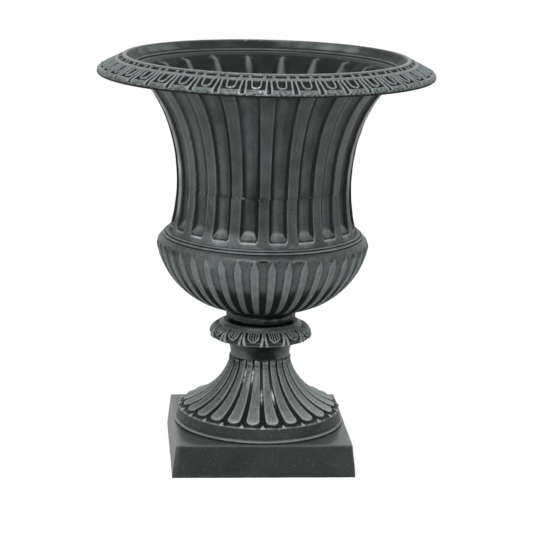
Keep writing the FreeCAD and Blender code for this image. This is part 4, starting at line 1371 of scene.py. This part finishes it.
    def stretches(self) -> list[Stretch]:
        """The bowl's outline: collar, ribs, beads, drum, flange and the hollow."""
        collar = bow((self.collar[0], self.collar[1]), (self.collar[0], self.collar[2]), 5.0, 24)
        neck = np.concatenate([collar, [(self.collar[0], self.collar[3]), self.bottom]])
        bowl = flare(self.belly, self.bottom, 77.0, 0.18)[::-1]
        shoulder = flare(self.belly, self.shoulder, 70.0)
        low, high = self.lower_bead, self.upper_bead
        beads = np.concatenate([[self.shoulder], bow((low[0], self.shoulder[1]), (low[0], low[1]), low[2], 8),
                                bow((high[0], low[1]), (high[0], high[1]), high[2], 8), [self.drum]])
        joint = (self.waist[0] - JOINT_WIDTH, self.waist[1])
        drum = np.concatenate([flare(self.waist, self.drum, 16.0)[::-1], [joint]])
        bore, base, spigot, peak = self.flange
        rim = np.array([joint, (spigot, self.waist[1]), (spigot, peak), (bore, peak), (bore, base),
                        (self.waist[0] - self.drum_wall, base)])
        hollow = flare((self.waist[0] - self.drum_wall, base), (self.drum[0] - self.drum_wall, self.drum[1]), 16.0)
        basin = flare((self.belly[0] - self.wall, self.belly[1]), self.floor, 77.0, 0.18)
        floor = np.array([self.floor, (self.bolt_hole, self.floor[1])])
        bolt_hole = np.array([floor[1], (self.bolt_hole, self.collar[1]), (self.collar[0], self.collar[1])])
        ribbed = np.concatenate([bowl, shoulder[1:]])
        few = self.columns
        return [Stretch(neck, few, 1.4, self.neck),
                Stretch(ribbed, 4 * few, 2.1, self.ribs.carve, calm=(4.0, 94.0, 2)),
                Stretch(beads, 2 * few, 0.8, self.beads, 0.15),
                Stretch(drum, 4 * few, 1.9, self.flutes.carve, seam=self.waist[1], calm=(26.0, 53.0, 3)),
                Stretch(rim, few, 6.0, self.inside), Stretch(np.concatenate([hollow, basin]), few, 8.0, self.inside),
                Stretch(floor, few, 1.3, self.drained), Stretch(bolt_hole, few, 6.0)]


@dataclass
class Tongues:
    """Flat tongues down the trumpet foot, with dark channels between them and small darts at their ends.

    Args:
        count: tongues round the foot.
        turn: angle of one tongue's middle.
        thickness: how far a tongue stands out of its channels.
        gap_high: width of a channel at the neck.
        gap_low: width of a channel at the tongues' ends.
        corner: rounding of the tongues' ends.
        edge: distance from the stretch's start to the band's top edge.
        ledge: distance from there to the ledge's raised inner line.
        end: distance from there to the tongues' ends.
    """

    count: int = 24
    turn: float = -8.76
    thickness: float = 3.0
    gap_high: float = 2.2
    gap_low: float = 8.8
    corner: float = 7.0
    edge: float = 2.0
    ledge: float = 2.7
    end: float = 5.4

    def carve(self, place: Place) -> Carving:
        """Raises the tongues from the channels' floor; travel runs from the band up to the neck. Painted light
        brightens the tongues towards the foot, painted shade dims them on the left and a little at the front right, and
        painted glints lie in some channels.

        Args:
            place: where the carving is read.

        Returns:
            The carving.
        """
        number, offset = place.unit(self.count, self.turn)
        turned = place.turned()
        travel = place.travel[:, None] - self.edge + 0.0 * offset
        to_neck = place.length - place.travel[:, None]
        half = place.half_pitch(self.count)
        gap = (self.gap_high + (self.gap_low - self.gap_high) * held(to_neck / place.length) ** 1.6) / 2.0
        width = half - gap
        rounding = corner_loss(offset, width, np.minimum(self.corner, width))
        inside = np.minimum(width - np.abs(offset), travel - self.end - 0.4 * scatter(number, 2.2) - rounding)
        mask = ramp(inside, -0.7, 0.7)
        channel = 1.0 - mask
        crown = 0.6 * (1.0 - held(np.abs(offset) / np.maximum(width, 0.1)) ** 2)
        from_gap = half - np.abs(offset)
        dart_share = held((travel + 0.3) / 6.6)
        dart = ramp(2.7 * (1.0 - dart_share) - from_gap, -0.4, 0.6) * ramp(travel, -0.8, 0.2) * ramp(travel, 7.0, 6.0)
        broken = place.lumps(5.5, 52) + 0.6 * place.lumps(2.8, 53)
        near_neck = ramp(to_neck, 17.0, 3.0)
        rough = place.lumps(5.0, 51) * 0.14
        thick = (self.thickness - 0.6 + crown) * ramp(to_neck, 0.0, 3.0) * ramp(travel, 3.6, 11.0) ** 0.3
        lines = bell(travel, 0.55) + bell(travel - self.ledge, 0.55)
        height = thick * mask + rough + 0.8 * near_neck * broken * ramp(to_neck, 0.0, 3.0) + 1.5 * dart + 0.35 * lines
        rim = bell(inside - 0.7, 0.8) * (0.4 + 0.6 * ramp(travel, 30.0, 8.0))
        # Painted light on the tongues towards the foot; painted shade on the left and a little at the front right.
        tongue_rub_and_light = 0.3 + 0.3 * ramp(travel, 62.0, 8.0) + 0.04 * scatter(number, 2.9)
        tongue_rub_and_light = tongue_rub_and_light * (1.0 - 0.88 * bell(turned + 66.0, 37.0)) * (1.0 - 0.2 * bell(turned - 34.0, 16.0))
        torn = ramp(broken, -0.1, 0.8) * near_neck
        rub_and_highlight = mask * (tongue_rub_and_light * (0.95 + 0.12 * place.lumps(14.0, 54)) + 0.35 * rim) * (1.0 - 0.75 * torn)
        broken_line = ramp(place.lumps(16.0, 55), -0.7, 0.1)
        # Painted glints in some channels near the front, low down and near the neck, and bright spots near the neck.
        streak = bell(from_gap - 0.4, 1.4) * (0.95 + 0.5 * place.lumps(7.0, 56))
        gleam = bell(travel - 53.0, 10.0) * bell(turned - 6.2, 11.0)
        gleam = gleam + bell(to_neck - 21.0, 10.0) * bell(turned + 24.0, 11.0)
        near_front = bell(turned + 24.0, 16.0)
        rub_and_highlight = rub_and_highlight + 2.7 * streak * gleam * channel
        rub_and_highlight = rub_and_highlight + 1.5 * near_neck * near_front * ramp(place.lumps(3.0, 57), 0.3, 0.7)
        rub_and_highlight = rub_and_highlight + 0.65 * dart * channel + 0.6 * held(lines) * broken_line * channel
        on_ledge = ramp(travel, 0.2, 0.9)
        dark = channel * (1.0 - dart) * (0.8 + 0.2 * ramp(travel, 40.0, 8.0)) * on_ledge
        grime_and_shade = dark * (1.0 - 0.7 * held(lines)) + 0.9 * torn
        return Carving.limited(height * place.ease(0.0, 1.0), rub_and_highlight, grime_and_shade, 2.0)


@dataclass
class LeafAndShell:
    """The knop's carving: shells with three bars inside, and split leaves whose tips hang under the edge.

    Args:
        count: shells round the knop.
        turn: angle of one leaf's middle.
        top: where the carving starts, from the lower lip along the outline.
        middle: middle of the shells' round ends.
        shell: radius of a shell's outline.
        stroke: half the width of a raised line.
        sunk: depth of the ground.
        lip: lower end of the carved face between the leaves.
    """

    count: int = 14
    turn: float = 0.0
    top: float = 23.0
    middle: float = 15.2
    shell: float = 6.5
    stroke: float = 1.15
    sunk: float = 2.2
    lip: float = 7.0

    def carve(self, place: Place) -> Carving:
        """Carves shells, bars and leaves from the distance above the lip's inner edge and from the nearest leaf. A
        painted highlight runs along the top edge at the front left, and painted shade lies on the underside of the
        lower lip.

        Args:
            place: where the carving is read.

        Returns:
            The carving.
        """
        number, from_leaf = place.unit(self.count, self.turn)
        up = place.travel[:, None] + 0.0 * from_leaf
        off_leaf = np.abs(from_leaf)
        aside = place.half_pitch(self.count) - off_leaf
        middle = self.middle + 0.3 * scatter(number, 4.0)
        beneath = np.maximum(middle - up, 0.0)
        reach = np.sqrt(aside ** 2 + beneath ** 2)
        narrow = self.shell - 0.09 * np.maximum(up - middle, 0.0)
        shell = ramp(self.stroke + 0.45 - np.abs(reach - narrow), 0.0, 0.9)
        bars = sum(ramp(0.95 - np.abs(aside - bar), 0.0, 0.7) for bar in (0.0, 3.0)) * ramp(narrow - reach, 1.6, 2.3)
        outer = 1.7 + 0.19 * np.maximum(self.top - up, 0.0)
        slit = 0.17 * np.maximum(12.5 - up, 0.0)
        leaf = ramp(outer - off_leaf, -0.45, 0.45) * ramp(off_leaf - slit, -0.3, 0.5)
        row = ramp(up, self.top + 0.4, self.top - 0.6)
        raised = held(np.maximum(np.maximum(shell, bars), leaf))
        sunk = row * (1.0 - raised) * self.sunk * ramp(up, self.lip - 1.0, self.lip + 1.5)
        under = ramp(up, self.lip + 2.0, self.lip - 4.5) * 4.0 * (1.0 - leaf)
        crown = 0.5 * leaf * bell(off_leaf - slit - 1.4, 1.2)
        height = (-np.maximum(sunk, under) + crown * row + place.lumps(6.0, 61) * 0.14) * ramp(up, 0.0, 1.2)
        tip = leaf * ramp(up, 9.0, 3.0)
        smooth = ramp(up, self.top - 0.5, self.top + 1.5)
        # Painted highlight along the top edge at the front left; painted shade under the lower lip.
        streak = bell(place.length - place.travel[:, None] - 3.2, 1.3) * bell(place.turned(-14.0), 14.0)
        rub_and_highlight = row * raised * (0.36 + 0.16 * place.lumps(10.0, 62)) + 0.3 * tip
        rub_and_highlight = rub_and_highlight + smooth * (0.17 + 0.1 * place.lumps(30.0, 63)) + 0.22 * bars * row + 0.6 * streak
        grime_and_shade = row * (1.0 - raised) * ramp(up, self.lip - 1.0, self.lip + 1.0) + 0.35 * ramp(up, 5.0, 1.0) - smooth
        return Carving.limited(height, rub_and_highlight, grime_and_shade)


@dataclass
class Pedestal(Casting):
    """Base band, tongued trumpet, plain neck and knop: one hollow casting.

    Args:
        base: bore and base height of the foot flange.
        band: radius at the base and at the top of the band.
        bead: top height and bulge of the bead at its foot.
        band_top: height of the band's top edge.
        ledge: inner end of the ledge on the band.
        tongue_end: where the tongues end.
        neck: the narrowest line.
        neck_top: top of the neck under the knop.
        knop_foot: inner end of the knop's lower lip.
        knop: radius and height of the knop's widest line.
        shoulder: the knop's shoulder.
        top: radius and height of the knop's top edge.
        plate: underside of the top plate.
        bolt_hole: radius of the hole for the centre bolt.
        wall: wall of the trumpet and neck.
        foot_inside: radius and height over the foot flange.
        tongues: the trumpet's tongues.
        carving: the knop's carving.
        columns: faces round the plain parts; carved parts have four times as many.
    """

    base: tuple[float, float] = (78.0, 39.5)
    band: tuple[float, float] = (103.0, 99.6)
    bead: tuple[float, float] = (43.5, 2.0)
    band_top: float = 58.0
    ledge: tuple[float, float] = (97.0, 59.0)
    tongue_end: tuple[float, float] = (91.0, 65.3)
    neck: tuple[float, float] = (36.7, 125.5)
    neck_top: tuple[float, float] = (44.0, 149.0)
    knop_foot: tuple[float, float] = (60.4, 149.0)
    knop: tuple[float, float] = (63.4, 152.0)
    shoulder: tuple[float, float] = (53.0, 164.0)
    top: tuple[float, float] = (45.6, 169.5)
    plate: float = 157.5
    bolt_hole: float = 6.5
    wall: float = 8.5
    foot_inside: tuple[float, float] = (92.5, 49.5)
    tongues: Tongues = field(default_factory=Tongues)
    carving: LeafAndShell = field(default_factory=LeafAndShell)
    columns: int = 168
    node: str = "pedestal"
    finish: Finish = PaintedIron("pedestal_iron", paint=shade(43, 50, 47), cloud=shade(53, 60, 58),
                                 pewter_and_highlight=shade(138, 149, 148), rub_and_highlight_amount=0.95, dusting=0.06, grain_height=0.00007,
                                 warm=shade(50, 51, 47), cool=shade(47, 56, 57))

    def foot(self, place: Place) -> Carving:
        """The band: smooth paint with a bright bead at its foot and a notch at the front; painted light on its left
        side, painted shade in the crease above the bead, and darker over the rest of the band.

        Args:
            place: where the carving is read.

        Returns:
            The carving.
        """
        level = place.level()
        uneven = place.lumps(16.0, 72) * 0.2 + place.lumps(6.0, 73) * 0.08
        ends = ramp(place.travel, 0.0, 2.0) * ramp(place.length - place.travel, 0.0, 1.0)
        across = np.radians(place.angle[None, :] + 14.2) * place.radius[:, None]
        notch = bell(np.abs(across) - 0.35 * (level - 49.5), 0.5) * ramp(level, 49.0, 49.8) * ramp(level, 54.2, 53.2)
        # Painted light on the band's left side.
        left_side_light = 0.04 * bell(place.turned(-62.0), 22.0)
        rub_and_highlight = 0.02 + left_side_light + 0.62 * bell(level - 42.4, 1.0) + 0.08 * place.lumps(50.0, 75) + 0.5 * notch
        # Painted shade in the crease above the bead.
        grime_and_shade = 0.5 * bell(level - 44.9, 0.9) * (1.0 - notch) + 0.22 * ramp(level, 45.0, 47.0)
        return Carving((uneven - 0.3 * notch) * ends[:, None], held(rub_and_highlight), grime_and_shade)

    def plain_neck(self, place: Place) -> Carving:
        """The neck: painted reflection, light at the sides and dark at the front, and painted shade under the knop.

        Args:
            place: where the carving is read.

        Returns:
            The carving.
        """
        level = place.level()
        # Painted reflection: dark at the front, light at the sides; painted shade under the knop.
        front_reflection = bell(place.turned(3.0), 29.0)
        grime_and_shade = 0.4 * ramp(level, 143.0, 149.0) + 0.95 * front_reflection * (0.9 + 0.2 * place.lumps(20.0, 76))
        rub_and_highlight = (0.27 + 0.15 * ramp(level, 132.0, 126.0)) * (1.0 - front_reflection)
        end = ramp(place.length - place.travel, 0.0, 2.0)[:, None]
        return Carving(place.lumps(14.0, 74) * 0.18 * end, rub_and_highlight, held(grime_and_shade))

    def stretches(self) -> list[Stretch]:
        """The pedestal's outline: band, channel floor, neck, knop and hollow."""
        level = self.base[1]
        bead = bow((self.band[0], level), (self.band[0], self.bead[0]), self.bead[1], 8)
        trumpet = flare(self.neck, self.tongue_end, 69.6, 0.17)
        normal = -outward(trumpet)
        lengths = along(trumpet)
        sink = self.tongues.thickness * ramp(lengths, 0.0, 6.0)
        floor = (trumpet - normal * sink[:, None])[::-1]
        top_edge = np.array([self.band[1], self.band_top])
        down_band = np.array([self.band[0], self.bead[0]]) - top_edge
        split = top_edge + down_band / np.linalg.norm(down_band) * self.tongues.edge
        foot = np.concatenate([bead, [split]])
        floor = np.concatenate([[split, top_edge, self.ledge], floor])
        neck = flare(self.neck, self.neck_top, 40.0)
        knop = flare(self.knop, self.shoulder, 75.0)
        lip = [(self.knop[0] - 0.9, self.knop[1] - 2.1)]
        cap = bow(self.shoulder, self.top, -1.0, 8)
        face = np.concatenate([[self.knop_foot], lip, knop, cap[1:]])
        hidden = np.array([self.top, (self.bolt_hole, self.top[1]), (self.bolt_hole, self.plate)])
        inner_trumpet = trumpet - normal * self.wall
        inner_neck = neck - outward(neck) * self.wall
        inner_neck = inner_neck[inner_neck[:, 1] > inner_trumpet[0, 1] + 0.5]
        hollow = np.concatenate([[(self.bolt_hole, self.plate), (inner_neck[-1, 0], self.plate)], inner_neck[::-1],
                                 inner_trumpet, [self.foot_inside, (self.base[0], self.foot_inside[1]), self.base]])
        few, many, inside = self.columns, 4 * self.columns, evenly_dark(0.6)
        return [Stretch(np.array([self.base, (self.band[0], level)]), few, 8.0, inside),
                Stretch(foot, many, 1.9, self.foot, 0.2),
                Stretch(floor, many, 1.1, self.tongues.carve, 0.2, calm=(15.0, 62.0, 3)),
                Stretch(np.concatenate([neck, [self.knop_foot]]), few, 2.4, self.plain_neck),
                Stretch(face, many, 1.0, self.carving.carve, 0.25), Stretch(hidden, few, 6.0, inside),
                Stretch(hollow, few, 5.0, inside)]


@dataclass
class Plinth(Casting):
    """The square hollow base with sloping sides.

    Args:
        base_width: outside width on the floor.
        top_width: outside width at the top.
        height: height of the plinth.
        wall: thickness of the walls.
        plate: thickness of the top plate.
        opening: radius of the opening in the plate.
        rounding: rounding of the top edges.
        corner: rounding of the upright edges.
        side: faces along one side.
    """

    base_width: float = 223.0
    top_width: float = 214.6
    height: float = 39.5
    wall: float = 7.0
    plate: float = 7.0
    opening: float = 68.0
    rounding: float = 1.5
    corner: float = 1.3
    side: int = 150
    node: str = "plinth"
    finish: Finish = PaintedIron("plinth_iron", paint=shade(27, 33, 31), cloud=shade(36, 43, 40),
                                 pewter_and_highlight=shade(106, 116, 112), rub_and_highlight_amount=0.7, dusting=0.04, grain=0.001,
                                 grain_height=0.00014, flecks=0.26, coat=0.6,
                                 warm=shade(37, 41, 37), cool=shade(30, 38, 38))

    def square(self, half: float, level: float, corner: float) -> Array:
        """A square ring with rounded corners: even paces along the sides, pulled in to an arc near each corner.

        Args:
            half: half the square's width.
            level: its height.
            corner: radius of the corners.

        Returns:
            Vertices, counter-clockwise from the middle of the front.
        """
        share = (np.arange(4 * self.side) / self.side + 0.5) % 1.0 * 2.0 - 1.0
        face = np.floor(np.arange(4 * self.side) / self.side + 0.5) % 4
        slid = np.sign(share) * np.abs(share) ** 0.8 * half
        over = np.clip(np.abs(slid) - (half - corner), 0.0, corner)
        pulled = np.minimum(half - corner + corner * np.sin(over / max(corner, 1e-6) * math.pi / 4.0), half)
        x = np.where(over > 0.0, np.sign(slid) * pulled, slid)
        y = -(half - corner + corner * np.cos(over / max(corner, 1e-6) * math.pi / 4.0))
        turn = face * math.pi / 2.0
        return np.stack([x * np.cos(turn) - y * np.sin(turn), x * np.sin(turn) + y * np.cos(turn),
                         np.full(x.shape, level)], 1)

    def circle(self, radius: float, level: float) -> Array:
        """A round ring whose vertices lie in the same directions as the square's."""
        flat = self.square(100.0, level, 0.0)
        reach = np.linalg.norm(flat[:, :2], axis=1)[:, None]
        return np.concatenate([flat[:, :2] / reach * radius, flat[:, 2:]], 1)

    def rings(self) -> list[Array]:
        """The closed section as rings: outer wall, top, opening, underside of the plate, inner wall and rim."""
        slope = (self.base_width - self.top_width) / 2.0 / self.height
        half = self.base_width / 2.0
        edge = self.height - self.rounding
        rings = [self.square(half - slope * level, level, self.corner)
                 for level in (0.0, 0.5, *np.linspace(1.5, edge - 0.6, 22), edge)]
        for angle in np.radians((30.0, 60.0, 90.0)):
            inward, rise = self.rounding * (1.0 - math.cos(angle)), self.rounding * math.sin(angle)
            rings.append(self.square(half - slope * edge - inward, edge + rise, self.corner))
        top = half - slope * edge - self.rounding
        outer, hole = self.square(top, self.height, self.corner), self.circle(self.opening, self.height)
        rings += [outer + (hole - outer) * share for share in (0.04, *np.linspace(0.12, 0.9, 12), 0.985, 1.0)]
        under = self.height - self.plate
        rings += [self.circle(self.opening, level) for level in (self.height - 0.4, under + 0.4, under)]
        inner = half - self.wall - slope * under
        low_hole, low_square = self.circle(self.opening, under), self.square(inner, under, self.corner)
        rings += [low_hole + (low_square - low_hole) * share for share in (0.04, 0.3, 0.6, 0.96, 1.0)]
        rings += [self.square(half - self.wall - slope * level, level, self.corner)
                  for level in (under - 0.5, under * 0.66, under * 0.33, 0.5, 0.0)]
        return rings

    def shape(self) -> bpy.types.Object:
        """The plinth with a cast skin: its faces pushed in by soft lumps, less near the floor."""
        grid = np.stack(self.rings())
        rows, columns = grid.shape[:2]
        x, y, z = grid[..., 0], grid[..., 1], grid[..., 2]
        dent = (0.5 + 0.5 * lumps(x, y, z, 34.0, 81)) * 0.5 + (0.5 + 0.5 * lumps(x, y, z, 11.0, 82)) * 0.22
        shrink = held(1.0 - dent / 110.0)
        grid[..., 0], grid[..., 1] = x * shrink, y * shrink
        grid[..., 2] = np.where(z > self.height - 2.0, z - dent * 0.35, z)
        numbers = np.arange(rows * columns).reshape(rows, columns)
        outer = (np.maximum(np.abs(x), np.abs(y)) > 100.0)
        edge = bell(z - (self.height - 0.7), 1.1) * outer
        upright = bell(np.minimum(np.abs(np.abs(x) - np.abs(y)), 20.0), 2.2) * outer
        top = ramp(z, self.height - 2.5, self.height - 1.0)
        # Lighter on the top edges, the upright corners and the top, and as painted reflection on the left face; lighter
        # along the lower edge; darker just above the floor.
        rub_and_highlight = 0.3 * edge + 0.2 * upright + 0.24 * top + 0.3 * ramp(-x, 100.0, 106.0) * ramp(z, -10.0, 40.0)
        rub_and_highlight = rub_and_highlight + 0.22 * ramp(z, 9.0, 0.0) * ramp(-x, -70.0, 105.0) * (0.6 + 0.6 * lumps(x, y, z, 14.0, 84))
        rub_and_highlight = held(rub_and_highlight + 0.07 * lumps(x, y, z, 60.0, 83))
        paint = {"rub_and_highlight": rub_and_highlight, "grime_and_shade": 0.1 * bell(z, 3.0), "crest": 0.0 * rub_and_highlight}
        faces = quads_between(numbers, np.roll(numbers, -1, 0))
        return mesh_piece(self.node + "_casting", grid.reshape(-1, 3), [faces], paint)


# ---------------------------------------------------------------- fasteners
class Metal(Enum):
    """What a fastener is made of."""

    STEEL = "fixing_steel"
    RUBBER = "seal_rubber"


@dataclass
class Fasteners:
    """The bolts, nuts and washers, which keep their own shapes and only get a finish.

    Args:
        made_of: the nodes of each substance.
    """

    made_of: dict[Metal, tuple[str, ...]] = field(default_factory=lambda: {
        Metal.STEEL: ("rim_screws", "waist_bolts", "waist_washers", "waist_nuts", "centre_bolt", "bolt_head_washer",
                      "lower_washer", "centre_nut", "plinth_bolts", "plinth_washers"),
        Metal.RUBBER: ("sealing_washer",)})

    def build(self) -> None:
        """Puts the finishes on the nodes."""
        materials = {Metal.STEEL: ZincSteel().material(), Metal.RUBBER: MouldedRubber().material()}
        for metal, names in self.made_of.items():
            for name in names:
                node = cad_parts[name]
                node.data.materials.clear()
                node.data.materials.append(materials[metal])
                LOG.info("%s: %s", name, metal.name.lower())


# ---------------------------------------------------------------- studio
@dataclass
class Studio:
    """Camera, floor, lamps and surroundings.

    Args:
        eye: where the camera stands, in metres.
        heading: the way it looks, from +Y towards +X.
        pitch: how far down it looks.
        roll: how far it is tipped.
        lens: focal length.
        sensor: width of the sensor.
        floor_size: half the width of the floor, in metres.
        lamps: name, place, size and power of each lamp.
    """

    eye: tuple[float, float, float] = (-0.1856, -2.3265, 0.7777)
    heading: float = 4.94
    pitch: float = 13.06
    roll: float = 1.45
    lens: float = 127.2
    sensor: float = 36.0
    floor_size: float = 60.0
    lamps: tuple[tuple[str, tuple[float, float, float], float, float], ...] = (
        ("high_left", (-0.8, -1.9, 2.0), 1.3, 46.0), ("high_right", (1.3, -1.7, 1.5), 1.0, 15.0),
        ("by_camera", (-0.45, -2.3, 1.35), 0.1, 6.0))

    def camera(self) -> None:
        """Camera with its axes worked out from heading, pitch and roll."""
        heading, pitch, roll = (math.radians(value) for value in (self.heading, self.pitch, self.roll))
        ahead = Vector((math.sin(heading) * math.cos(pitch), math.cos(heading) * math.cos(pitch), -math.sin(pitch)))
        level = Vector((math.cos(heading), -math.sin(heading), 0.0))
        upright = level.cross(ahead)
        right = level * math.cos(roll) + upright * math.sin(roll)
        up = upright * math.cos(roll) - level * math.sin(roll)
        data = bpy.data.cameras.new("camera")
        data.lens, data.sensor_width, data.sensor_fit = self.lens, self.sensor, "HORIZONTAL"
        data.clip_end = 200.0
        camera = add("camera", data)
        camera.matrix_world = Matrix.Translation(Vector(self.eye)) @ Matrix((right, up, -ahead)).transposed().to_4x4()
        bpy.context.scene.camera = camera

    def floor(self) -> None:
        """A wide pale floor, white to the camera but for part of the object's shadow."""
        size = self.floor_size
        mesh = bpy.data.meshes.new("floor")
        mesh.from_pydata([(-size, -size, 0.0), (size, -size, 0.0), (size, size, 0.0), (-size, size, 0.0)], [],
                         [(0, 1, 2, 3)])
        floor = add("floor", mesh)
        floor.data.materials.append(FloorPaper().material())

    def surroundings(self) -> None:
        """White paper all round, with the dark of the room behind the camera; the camera itself sees plain white."""
        world = bpy.data.worlds.new("studio")
        bpy.context.scene.world = world
        world.use_nodes = True
        tree = Tree(world.node_tree)
        parts = tree.node("ShaderNodeSeparateXYZ", None, Vector=tree.place("Generated"))
        across, back, up = (tree.read(part) for part in parts.outputs)
        behind = (back + across * across * 0.2).step(-0.08, 0.44)
        light = (behind * 0.85 + up.step(0.3, 0.85) * 0.75 + 0.07).held()
        seen = tree.read(tree.node("ShaderNodeLightPath").outputs["Is Camera Ray"])
        ground = tree.node("ShaderNodeBackground", None, Color=WHITE, Strength=seen + (1.0 - seen) * light)
        tree.node("ShaderNodeOutputWorld", None, Surface=ground.outputs[0])

    def lamp(self, name: str, place: tuple[float, float, float], size: float, power: float,
             aim: tuple[float, float, float] = (0.0, 0.0, 0.3)) -> None:
        """A square soft lamp.

        Args:
            name: the lamp's name.
            place: where it hangs, in metres.
            size: its width in metres.
            power: its power in watts.
            aim: the point that it shines at.
        """
        data = bpy.data.lights.new(name, "AREA")
        data.shape, data.size, data.energy = "SQUARE", size, power
        way = Vector(aim) - Vector(place)
        turn = way.to_track_quat("-Z", "Y").to_matrix().to_4x4()
        add(name, data).matrix_world = Matrix.Translation(Vector(place)) @ turn

    def build(self) -> None:
        """Sets the studio up."""
        self.camera()
        self.floor()
        self.surroundings()
        for lamp in self.lamps:
            self.lamp(*lamp)
        bpy.context.scene.view_settings.view_transform = "Standard"
        LOG.info("studio ready")


def main() -> None:
    """Builds the urn and its studio."""
    logging.basicConfig(level=logging.INFO, format="%(name)s: %(message)s")
    Fasteners().build()
    for casting in (Plinth(), Pedestal(), LowerBowl(), UpperBody(), RimRing()):
        casting.build()
    Studio().build()


if __name__ == "__main__":
    main()
